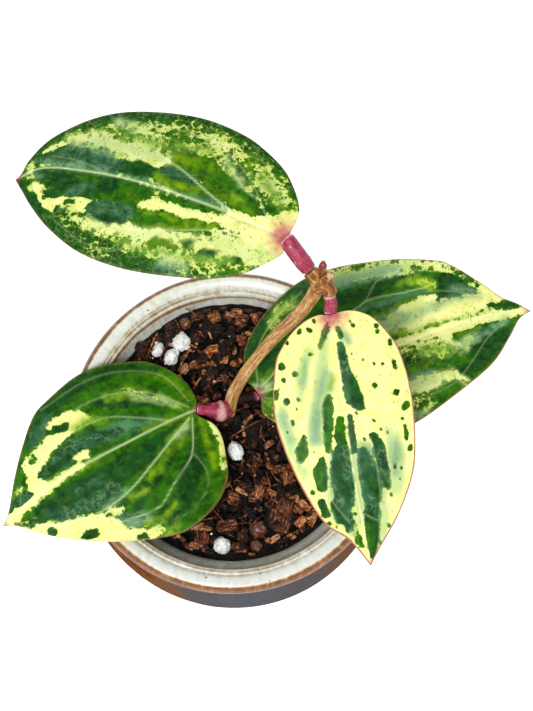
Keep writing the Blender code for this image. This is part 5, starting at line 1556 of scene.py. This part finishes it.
def clear_of(x, y, reach, places):
    """Whether a place keeps this distance from every circle, given as x, y and radius."""
    return all(math.hypot(x - px, y - py) > radius + reach for px, py, radius in places)


def drawn_corners(draw):
    """Eight corners of a block, each drawn in by its own amount, as in the CAD chips."""
    corners = {}
    for corner in itertools.product((-1.0, 1.0), repeat=3):
        corners[corner] = [side / 2 * draw.uniform(*CHIP_CORNER) for side in corner]
    return corners


def drawn_tilt(draw, most):
    return [draw.uniform(-most, most) for _ in range(2)]


def drawn_place(draw):
    """A place on the surface, as radius and angle."""
    radius = inner_radius(SOIL_HEIGHT) * math.sqrt(draw.random())
    return radius, draw.uniform(0.0, 2 * math.pi)


def cad_chips():
    """The chips that the CAD mix has too, with the same draws."""
    draw = random.Random(CHIP_SEED)
    looks = random.Random(BARK_SEED)
    cube = cube_grid(LARGE_CHIP_CUTS)
    shapes = []
    for number, (x, y, length, width, turn, tone) in enumerate(LARGE_CHIPS):
        corners, tilt = drawn_corners(draw), drawn_tilt(draw, CHIP_TILT)
        centre = on_soil(x, y, CHIP_RAISED * LARGE_CHIP_DEPTH)
        size, rust = (length, width, LARGE_CHIP_DEPTH), max(0.0, tone - 0.2)
        turn = math.radians(turn)
        shapes.append(chip_shape(cube, corners, size, turn, tilt, centre, tone, rust, number))
    cube = cube_grid(CHIP_CUTS)
    taken = [*GRAINS, STEM_GROUND, *[(x, y, width / 4) for x, y, _, width, _, _ in LARGE_CHIPS]]
    while len(shapes) < len(LARGE_CHIPS) + CHIP_COUNT:
        length = draw.uniform(*CHIP_LENGTH)
        width = length * draw.uniform(*CHIP_WIDTH_SHARE)
        size = (length, width, length * draw.uniform(*CHIP_DEPTH_SHARE))
        radius, angle = drawn_place(draw)
        x, y = polar(radius, angle)
        inside = radius < mix_edge(angle)[0] - 0.55 * length - CLEARANCE
        if inside and clear_of(x, y, CHIP_ROOM * length, taken):
            turn = draw.uniform(0.0, 2 * math.pi)
            corners, tilt = drawn_corners(draw), drawn_tilt(draw, CHIP_TILT)
            centre = on_soil(x, y, CHIP_RAISED * size[2])
            tone, rust = looks.choice(CHIP_TONES), looks.uniform(0.0, 0.7)
            shapes.append(chip_shape(cube, corners, size, turn, tilt, centre, tone, rust, len(shapes)))
    return shapes


def scattered(kind, cube, seed):
    """Small pieces of bark over the whole surface, between the larger ones."""
    count, lengths, widths, depths, levels = kind
    draw = random.Random(seed)
    taken = [(x, y, radius * 0.8) for x, y, radius in GRAINS]
    taken.append((*STEM_PATH[2][:2], 2.6))
    shapes = []
    while len(shapes) < count:
        length = draw.uniform(*lengths)
        size = (length, length * draw.uniform(*widths), length * draw.uniform(*depths))
        radius, angle = drawn_place(draw)
        x, y = polar(radius, angle)
        turn = draw.uniform(0.0, 2 * math.pi)
        corners, tilt = drawn_corners(draw), drawn_tilt(draw, SCRAP_TILT)
        level = draw.uniform(*levels)
        tone, rust = draw.choice(SCRAP_TONES), draw.uniform(0.0, 1.0)
        room = mix_edge(angle)[0] - CLEARANCE - radius
        if room < 0.4 * length or not clear_of(x, y, 0.3 * length, taken):
            continue
        if room < 0.6 * length:
            turn = angle + math.pi / 2 + 0.1 * (turn - math.pi)
        centre, number = on_soil(x, y, level), seed + len(shapes)
        shapes.append(chip_shape(cube, corners, size, turn, tilt, centre, tone, rust, number))
    return shapes


def beside_wall():
    """Scraps that lie along the pot's wall, each turned to follow it."""
    draw = random.Random(BARK_SEED + 13)
    cube = cube_grid(SCRAP_CUTS)
    shapes = []
    for number in range(WALL_SCRAPS):
        angle = 2 * math.pi * (number + draw.uniform(-0.4, 0.4)) / WALL_SCRAPS
        length = draw.uniform(2.4, 6.0)
        width = length * draw.uniform(0.35, 0.65)
        size = (length, width, length * draw.uniform(0.25, 0.45))
        radius = mix_edge(angle)[0] - CLEARANCE - 0.5 * width - 0.14 * length - draw.uniform(0.0, 2.4)
        x, y = polar(radius, angle)
        corners, tilt = drawn_corners(draw), drawn_tilt(draw, WALL_SCRAP_TILT)
        turn = angle + math.pi / 2 + draw.uniform(-0.22, 0.22)
        centre = on_soil(x, y, draw.uniform(0.6, 1.9))
        tone, rust = draw.choice(WALL_SCRAP_TONES), draw.uniform(0.0, 0.9)
        if clear_of(x, y, 0.4 * length, GRAINS):
            shapes.append(chip_shape(cube, corners, size, turn, tilt, centre, tone, rust, 900 + number))
    return shapes


def fragments():
    """The pieces of bark that stand out."""
    draw = random.Random(BARK_SEED + 9)
    cube = cube_grid(CHIP_CUTS)
    shapes = []
    for number, (x, y, *size, turn, level, tone, rust) in enumerate(FRAGMENTS, start=600):
        tilt, corners = drawn_tilt(draw, CHIP_TILT), drawn_corners(draw)
        centre, tone = on_soil(x, y, level), tone * FRAGMENT_TONE
        turn = math.radians(turn)
        shapes.append(chip_shape(cube, corners, size, turn, tilt, centre, tone, rust, number, 1.3))
    return shapes


def white_bits(material):
    """Crumbs of perlite that lie loose on the bark."""
    draw = random.Random(BARK_SEED + 11)
    cube = cube_grid(SCRAP_CUTS)
    shapes = []
    for number, (x, y, radius) in enumerate(WHITE_BITS, start=700):
        centre = on_soil(x, y, BIT_HEIGHT)
        size = (2.2 * radius, 1.8 * radius, 1.8 * radius)
        corners, turn = drawn_corners(draw), draw.uniform(0.0, 3.0)
        tilt, tone, rust = (0.3, 0.2), 1.0, 0.0
        points, faces, _ = chip_shape(cube, corners, size, turn, tilt, centre, tone, rust, number, 1.2)
        shapes.append((points, faces, {}))
    points, faces, _ = merged(shapes)
    piece("perlite_bits", points, faces, material, "potting_mix")


def shred(path, thickness, tone, rust):
    points, faces, _ = swept(path, (thickness, thickness, 0.4 * thickness), 6, 14)
    return points, faces, {"local": points, **same(points, tone=tone, rust=rust)}


def placed_fibres():
    """The shreds and sticks that stand where they do in the photo."""
    shapes = []
    for x, y, end_x, end_y, lift, *looks in [*[(*row, 0.2, 0.62, 0.7) for row in LONG_FIBRES], *STICKS]:
        path = []
        for share, height in ((0.0, 0.8), (0.5, lift), (1.0, 0.8)):
            at_x, at_y = x + share * (end_x - x), y + share * (end_y - y)
            bend = 0.25 * math.sin(3.0 * share)
            path.append((at_x + bend, at_y, soil_level(at_x, at_y) + height))
        shapes.append(shred(path, *looks))
    return shapes


def fibres():
    """Thin shreds that lie on the chips, slightly bent."""
    draw = random.Random(BARK_SEED + 5)
    shapes = placed_fibres()
    wanted = FIBRE_COUNT + len(shapes)
    while len(shapes) < wanted:
        length = draw.uniform(*FIBRE_LENGTH)
        radius, angle = drawn_place(draw)
        turn = draw.uniform(0.0, 2 * math.pi)
        bend = draw.uniform(-0.25, 0.25) * length
        thickness = draw.uniform(*FIBRE_RADIUS)
        tone, rust = draw.uniform(0.15, 0.75), draw.uniform(0.2, 1.0)
        tips = draw.uniform(0.2, 1.2), draw.uniform(0.2, 1.2)
        x, y = polar(radius, angle)
        if radius > mix_edge(angle)[0] - 0.5 * length or not clear_of(x, y, 1.0, [STEM_GROUND]):
            continue
        ahead = np.array([math.cos(turn), math.sin(turn)])
        sideways = np.array([-ahead[1], ahead[0]])
        path = []
        for share, side, lift in ((-0.5, 0.0, tips[0]), (0.0, bend, FIBRE_LIFT), (0.5, 0.0, tips[1])):
            flat = np.array([x, y]) + share * length * ahead + side * sideways
            path.append(on_soil(*flat, lift))
        shapes.append(shred(path, thickness, tone, rust))
    return shapes


def potting_mix():
    bark = bark_look()
    mix_bed(bark)
    for name, shapes in (
        ("bark_chips", cad_chips()),
        ("bark_scraps", scattered(SCRAPS, cube_grid(SCRAP_CUTS), BARK_SEED)),
        ("bark_crumbs", scattered(CRUMBS, cube_grid(CRUMB_CUTS), BARK_SEED + 3)),
        ("bark_fragments", fragments()),
        ("bark_beside_wall", beside_wall()),
        ("bark_fibres", fibres()),
    ):
        points, faces, values = merged(shapes)
        # Height over the mix's surface, from which the bark look paints shade low in the mix.
        values["up"] = over_soil(points)
        piece(name, points, faces, bark, "potting_mix", values)


def grains(kind, places, forms, lumps, material, facets):
    """The loose grains, with the CAD grain's lumps and finer ones."""
    unit, faces = ball_grid()
    for number, ((x, y, radius), (*drawn, turn)) in enumerate(zip(places, forms), start=1):
        shift = Vector((number * 7.7, 0.0, 0.0))
        coarse = np.array([noise.noise(Vector(p) * 1.3 + shift) for p in unit])
        fine = rough_noise(unit * 2.0 + number * 3.7, 0.9, number)
        steps = np.round(rough_noise(unit + number, 1.1, number + 40, 1) * 3.0) / 3.0
        reach = radius * (1.0 + lumps * coarse + facets * (0.12 * fine + 0.13 * steps))
        centre = np.array(on_soil(x, y, radius * GRAIN_SUNK))
        matrix = np.array(Euler((0.0, 0.0, math.radians(turn))).to_matrix())
        points = (unit * reach[:, None] * np.array(drawn)) @ matrix.T + centre
        name = f"{kind}_{number}"
        piece(f"{name}_grain", points, faces, material, name)


# Stem and stalks

def stem_swell(run, angle):
    return grooves(run, angle, 0.16, 0.16, 2.2, 0.8, 4) + 0.18 * line_noise(run, 9.0, 6)


def arm_swell(run, angle):
    return grooves(run, angle, 0.22, 0.7, 1.6, 0.9, 9)


def petiole_swell(run, angle):
    return grooves(run, angle, 0.12, 0.4, 1.5, 1.2, 12)


def marked(shape, knot):
    """The shape with the wood's values: how much it is node bark, and no cut face."""
    points, faces, values = shape
    return points, faces, {**values, **same(points, knot=knot, cut=0.0)}


def collar(path, radius):
    """The woody arm that carries a petiole or a bud, one clearance short of it and square to it."""
    start = Vector(path[0])
    direction = (Vector(path[1]) - start).normalized()
    middle, end = start - direction * COLLAR_LENGTH, start - direction * CLEARANCE
    ends = [STEM_PATH[-1], tuple(middle), tuple(end)]
    radii = [radius * 0.96, radius, radius * 1.02]
    return marked(swept(ends, radii, ARM_SIDES, COLLAR_STEPS, arm_swell, (0.0, 0.35)), 1.0)


def node_lump():
    """The swollen node at the stem's top."""
    unit, faces = ball_grid()
    lumps = rough_noise(unit * 2.2, 1.0, 15, 4)
    points = unit * (NODE_RADIUS * (1.0 + 0.1 * lumps))[:, None] + np.array(STEM_PATH[-1])
    values = {"run": unit[:, 2] * 3.0, "turn": np.arctan2(unit[:, 1], unit[:, 0])}
    return marked((points, faces, values), 1.0)


def cut_stalk():
    """What is left of a flower stalk, with a pale face where it was cut."""
    shape = swept(STALK_PATH, STALK_RADII, ARM_SIDES, STALK_STEPS, arm_swell, (0.0, 0.3))
    points, faces, values = marked(shape, 1.0)
    end = np.array(STALK_PATH[-1])
    direction = end - np.array(STALK_PATH[1])
    direction = direction / np.linalg.norm(direction)
    ahead = (points - end) @ direction
    aside = np.linalg.norm((points - end) - ahead[:, None] * direction, axis=1)
    values["cut"] = fade(ahead, -0.28, -0.1) * fade(aside, 1.35, 1.05)
    return points, faces, values


def trunk():
    """The stem up to its node, where its bark turns into the node's."""
    points, faces, values = marked(swept(STEM_PATH, STEM_RADII, STEM_SIDES, STEM_STEPS, stem_swell), 0.0)
    length = values["run"].max()
    values["knot"] = fade(values["run"], length - 7.0, length - 2.0)
    return points, faces, values


def stem():
    arms = [
        (PETIOLES["petiole_a"]["path"], COLLAR_RADIUS),
        (PETIOLES["petiole_c"]["path"], COLLAR_RADIUS),
        (BUD_PATH, BUD_COLLAR_RADIUS),
    ]
    points, faces, values = merged([trunk(), node_lump(), cut_stalk(), *[collar(*arm) for arm in arms]])
    piece("stem_wood", points, faces, wood_look(), "stem", values)


def bud():
    points, faces, _ = swept(BUD_PATH, BUD_RADII, BUD_SIDES, BUD_STEPS, arm_swell, (0.5, 0.3))
    piece("bud_cone", points, faces, bud_look(), "bud")


def petiole(name, given, material):
    """A stalk whose level end stops at its leaf's base, rounded at its ends."""
    held = LEAVES[given["leaf"]]
    angle = math.radians(held["heading"] + held["arrive"])
    forward = Vector((math.cos(angle), math.sin(angle), 0.0))
    end = Vector(held["base"]) - Vector((0.0, 0.0, PETIOLE_DROP))
    path = [*given["path"], tuple(end - forward * PETIOLE_LEVEL), tuple(end)]
    radii = [*given["radii"], given["radii"][-1]]
    points, faces, values = swept(path, radii, PETIOLE_SIDES, PETIOLE_STEPS, petiole_swell, (0.5, 0.8))
    run = values["run"]
    length = run.max()
    wander = rough_noise(points, 1.6, 17)
    callus = fade(run + 0.3 * wander, length - 0.8, length - 0.4) * given["callus"]
    # A pale band across the stalk, painted as a highlight
    start, stop, strength = given["highlight_streak"]
    ragged = run + 0.5 * wander
    highlight_streak = strength * fade(ragged, start - 0.5, start + 0.5) * fade(ragged, stop + 0.6, stop - 0.6)
    # The pale share: the real callus, the painted highlight band and pale flecks.
    values["pale"] = np.maximum(callus, highlight_streak) + 0.4 * fade(wander, 0.8, 1.2)
    values["deep"] = given["depth"] * fade(wander, -0.6, 0.5)
    values["dark"] = fade(run + 0.4 * wander, 1.2, 0.2) * given["sheath"]
    # How high each point lies on its ring, from which the stalk look paints shade on the lower side.
    rings = points[:-2].reshape(-1, PETIOLE_SIDES, 3)
    raised = rings[..., 2] - rings[..., 2].mean(axis=1, keepdims=True)
    values["up"] = np.append((raised / max(radii)).ravel(), [0.0, 0.0])
    # Painted shadow over the whole stalk but its end at the leaf.
    values["olive"] = given["shade"] * fade(run, length - 0.5, length - 1.3)
    piece(f"{name}_stalk", points, faces, material, name, values)


# Leaves

def blade_frame(leaf):
    """The petiole's direction at the leaf's base, and the direction across it, on plan."""
    angle = math.radians(leaf["arrive"])
    forward = np.array([math.cos(angle), math.sin(angle)])
    return forward, np.array([-forward[1], forward[0]])


def blade_lines(leaf):
    """Left margin, midrib and right margin on plan, each as one point for each row."""
    forward, sideways = blade_frame(leaf)
    shares = np.linspace(0.0, 1.0, LEAF_ROWS + 1)
    lines = []
    for name, side, gather in (("left", 1.0, 1.0), ("midrib", 0.0, MIDRIB_GATHER), ("right", -1.0, 1.0)):
        start = forward * CLEARANCE + sideways * side * BASE_HALF_WIDTH
        curve = smooth_points([tuple(start), *leaf[name]])
        lines.append(along(curve, shares ** gather))
    return lines


def blade_grid(leaf):
    """The blade's points on plan, with each one's share across, half width and share along."""
    left, middle, right = blade_lines(leaf)
    forward, _ = blade_frame(leaf)
    half = 1.0 - (1.0 - np.linspace(0.0, 1.0, LEAF_HALF_COLUMNS + 1)) ** MARGIN_GATHER
    shares = np.concatenate([-half[:0:-1], half])
    margin = np.where((shares > 0)[None, :, None], left[:, None], right[:, None])
    centre = middle[:, None]
    across = np.abs(shares)[None, :, None]
    behind = np.maximum(0.0, ((centre - margin) @ forward))[..., None]
    bow = 2.0 * ROW_BOW * behind * across * (1.0 - across) * forward
    plan = centre + across * (margin - centre) + bow
    width = np.linalg.norm(margin - centre, axis=-1)
    row_share = np.repeat(np.linspace(0.0, 1.0, LEAF_ROWS + 1)[:, None], len(shares), axis=1)
    return plan, np.abs(shares)[None, :] * np.ones_like(width), width, row_share


def near_midrib(from_midrib):
    return np.exp(-((from_midrib / MIDRIB_WIDTH) ** 2))


def blade_height(leaf, plan, from_midrib, row_share):
    """Height of the blade's upper face over the leaf's base."""
    rise = smooth_points(leaf["rise"])
    count, size, phase = leaf["waves"]
    height = np.interp(plan[..., 0], rise[:, 0], rise[:, 1]) + leaf["cup"] * plan[..., 1] ** 2
    wave = np.sin(2 * math.pi * count * row_share + phase)
    height = height + size * wave * (from_midrib / WAVE_REACH) ** 2
    faded = np.minimum(1.0, (1.0 - row_share) / GROOVE_FADE)
    return height - MIDRIB_GROOVE * faded * near_midrib(from_midrib)


def blade_thickness(from_margin, from_midrib, row_share):
    """Thin at the margin, full in the blade and thicker along the midrib's underside."""
    inside = np.minimum(1.0, from_margin / MARGIN_TAPER)
    full = MARGIN_THICKNESS + (BLADE_THICKNESS - MARGIN_THICKNESS) * inside
    return full + MIDRIB_RIDGE * (1.0 - row_share) * near_midrib(from_midrib)


def vein_strength(name, flat):
    """How much each point lies on a vein, thinner towards each vein's end."""
    strength = np.zeros(len(flat))
    for amount, line in VEINS[name]:
        curve = smooth_points(line, 6)
        widths = np.linspace(0.5 if amount > 0.75 else 0.43, 0.38, len(curve))
        distance = distance_to_line(flat, np.column_stack([curve, np.zeros(len(curve))]))
        nearest = np.argmin(np.linalg.norm(flat[:, None, :] - curve[None, ::6, :], axis=2), axis=1)
        width = widths[::6][nearest]
        strength = np.maximum(strength, amount * np.exp(-((distance / width) ** 2)))
    return strength


def leaf_patches(name, flat):
    """What is painted on a leaf: each patch's line, the points it is measured from and its kind."""
    streaky = flat * np.array([0.5, 1.0])
    push = np.stack([1.0 * rough_noise(streaky, 2.4, 51), 0.7 * rough_noise(flat, 3.0, 77)], -1)
    warped = flat + LEAF_LOOKS[name]["ragged"] * push
    patches = [(line, warped, LEAF_KINDS[kind]) for kind, line in PATCHES[name]]
    for x, y, half_length, half_width in SPOTS.get(name, []):
        stretch = max(0.05, half_length - half_width)
        line = [(x - stretch, y, half_width), (x + stretch, y, half_width)]
        patches.append((line, flat + SPOT_PUSH * push, SPOT_KIND))
    return patches


def leaf_pattern(name, flat, from_margin):
    """The share of green, the net, the green's colour and the ground's at each point."""
    looks = LEAF_LOOKS[name]
    green, net = np.zeros(len(flat)), np.zeros(len(flat))
    tint = np.tile(screen(LEAF_KINDS["green"][0]), (len(flat), 1))
    ground = np.tile(screen(LEAF_KINDS["cream"][0]), (len(flat), 1))
    for line, where, (colour, share, border, soft) in leaf_patches(name, flat):
        distance = distance_to_line(where, line)
        inside = fade(distance, soft, -0.4 * soft)
        washed = fade(distance, soft, -soft)[:, None]
        if share is not None:
            green += inside * (share - green)
            net += inside * (border - net)
        if not share:
            ground += washed * (screen(colour) - ground)
        if share != 0.0:
            tint += washed * (screen(colour) - tint)
        if share:
            halo = looks["halo"] * fade(distance, 1.8, 0.2)[:, None]
            ground += halo * (screen(HALO_COLOUR) - ground)
    partly = fade(green, 0.15, 0.4) * fade(green, 0.98, 0.85)
    green += 0.26 * partly * rough_noise(flat * (0.6, 1.0), 5.0, 63)
    green += looks["edge_green"] * np.exp(-from_margin / EDGE_REACH) * (green > 0.1)
    return {"green": np.clip(green, 0.0, 1.0), "net": net, "tint": tint, "ground": ground}


def blade_faces(rows, columns):
    """Faces of the upper and the lower grid, and the band that joins them round the margin."""
    count = rows * columns
    upper = grid_faces(rows, columns)
    lower = [tuple(n + count for n in reversed(face)) for face in upper]
    outline = [*range(columns)]
    outline += [row * columns + columns - 1 for row in range(1, rows)]
    outline += [(rows - 1) * columns + n for n in range(columns - 2, -1, -1)]
    outline += [row * columns for row in range(rows - 2, 0, -1)]
    band = [(here, after, after + count, here + count)
            for here, after in zip(outline, outline[1:] + outline[:1])]
    return upper + lower + band


def leaf(name, number, material):
    """One blade: its upper and lower face, its veins and the values of its pattern."""
    given, looks = LEAVES[name], LEAF_LOOKS[name]
    plan, across, width, row_share = blade_grid(given)
    from_midrib, from_margin = across * width, (1.0 - across) * width
    flat = plan.reshape(-1, 2)
    vein = vein_strength(name, flat).reshape(width.shape)
    inner = fade(from_margin, 0.0, 2.5)
    pucker = PUCKER * smooth_noise(plan, 5.0, 30 + number) - VEIN_DEPTH * vein
    top = blade_height(given, plan, from_midrib, row_share) + (pucker - 0.05) * inner
    bottom = top - blade_thickness(from_margin, from_midrib, row_share) - 0.15 * vein * inner
    rounding = 0.2 * fade(from_margin, 0.6, 0.0)
    faces_up, faces_down = np.dstack([plan, top - rounding]), np.dstack([plan, bottom + rounding])
    points = np.vstack([faces_up.reshape(-1, 3), faces_down.reshape(-1, 3)])
    from_base = np.linalg.norm(flat, axis=1) + 0.8 * rough_noise(flat, 1.6, 3)
    blush = fade(from_base, looks["blush"], 0.4) ** 1.1 * 0.95
    values = {
        "local": np.column_stack([flat * looks["grain"], np.full(len(flat), 40.0 * number)]),
        "vein": vein.ravel(),
        "edge": from_margin.ravel(),
        "blush": np.maximum(blush, looks["tip"] * fade(row_share.ravel(), 0.972, 0.992)),
        **leaf_pattern(name, flat, from_margin.ravel()),
        **same(flat, edge_line=looks["edge_line"], freckle=looks["freckle"]),
    }
    values = {key: np.concatenate([held, held]) for key, held in values.items()}
    values["under"] = np.repeat([0.0, 1.0], len(flat))
    heading = math.radians(given["heading"])
    ahead = np.array([math.cos(heading), math.sin(heading)])
    turned = points[:, :2] @ np.array([ahead, [-ahead[1], ahead[0]]])
    points = np.column_stack([turned, points[:, 2]]) + np.array(given["base"])
    weld(piece(f"{name}_blade", points, blade_faces(*width.shape), material, name, values))


def weld(obj):
    """Joins the points that meet at the leaf's tip."""
    shape = bmesh.new()
    shape.from_mesh(obj.data)
    bmesh.ops.remove_doubles(shape, verts=shape.verts, dist=WELD_DISTANCE * MM)
    shape.to_mesh(obj.data)
    shape.free()


# Stage

def paper_floor(scene):
    """A large white floor that glows a little, as the photo's background."""
    mesh = bpy.data.meshes.new("floor")
    half = FLOOR_SIZE * MM / 2
    corners = [(-half, -half, 0.0), (half, -half, 0.0), (half, half, 0.0), (-half, half, 0.0)]
    mesh.from_pydata(corners, [], [(0, 1, 2, 3)])
    floor = bpy.data.objects.new("floor", mesh)
    look = Look("floor_paper", Base_Color=(*FLOOR_COLOUR, 1.0), Roughness=FLOOR_ROUGHNESS,
                Emission_Color=(1.0, 1.0, 1.0, 1.0), Emission_Strength=FLOOR_GLOW)
    mesh.materials.append(look.material)
    scene.collection.objects.link(floor)


def room_light(scene):
    world = bpy.data.worlds.new("studio")
    world.use_nodes = True
    background = world.node_tree.nodes["Background"]
    background.inputs["Color"].default_value = (*WORLD_COLOUR, 1.0)
    background.inputs["Strength"].default_value = WORLD_STRENGTH
    scene.world = world


def key_light(scene):
    """A round lamp in front of the plant and over it."""
    light = bpy.data.lights.new("key", "AREA")
    light.shape = "DISK"
    light.size = KEY_SIZE * MM
    light.energy = KEY_POWER
    key = bpy.data.objects.new("key", light)
    key.location = Vector(KEY_PLACE) * MM
    key.rotation_euler = (Vector(KEY_TARGET) * MM - key.location).to_track_quat("-Z", "Y").to_euler()
    scene.collection.objects.link(key)


def photo_camera(scene):
    """The photo's view, from above and a little in front."""
    lens = bpy.data.cameras.new("camera")
    lens.sensor_fit = "VERTICAL"
    lens.sensor_height = SENSOR_HEIGHT
    lens.lens = LENS
    lens.clip_end = CLIP_END * MM
    camera = bpy.data.objects.new("camera", lens)
    camera.location = Vector(CAMERA_PLACE) * MM
    camera.rotation_euler = (math.radians(CAMERA_TILT), 0.0, 0.0)
    scene.collection.objects.link(camera)
    scene.camera = camera
    scene.view_settings.view_transform = "Standard"


def main():
    scene = bpy.context.scene
    for part in (paper_floor, room_light, key_light, photo_camera):
        part(scene)
    pot()
    potting_mix()
    white = perlite_look()
    white_bits(white)
    grains("perlite", PERLITE, PERLITE_FORMS, PERLITE_LUMPS, white, 1.0)
    grains("clay_ball", CLAY_BALLS, CLAY_FORMS, CLAY_LUMPS, clay_look(), 0.7)
    stem()
    bud()
    stalks = petiole_look("petiole", 0.35)
    # A duller copy of the stalk look, for the stalk that is painted in shadow.
    shaded = petiole_look("petiole_shaded", 0.05)
    for name, given in PETIOLES.items():
        petiole(name, given, shaded if given["shade"] else stalks)
    blades = leaf_look()
    for number, name in enumerate(LEAVES, start=1):
        leaf(name, number, blades)


main()
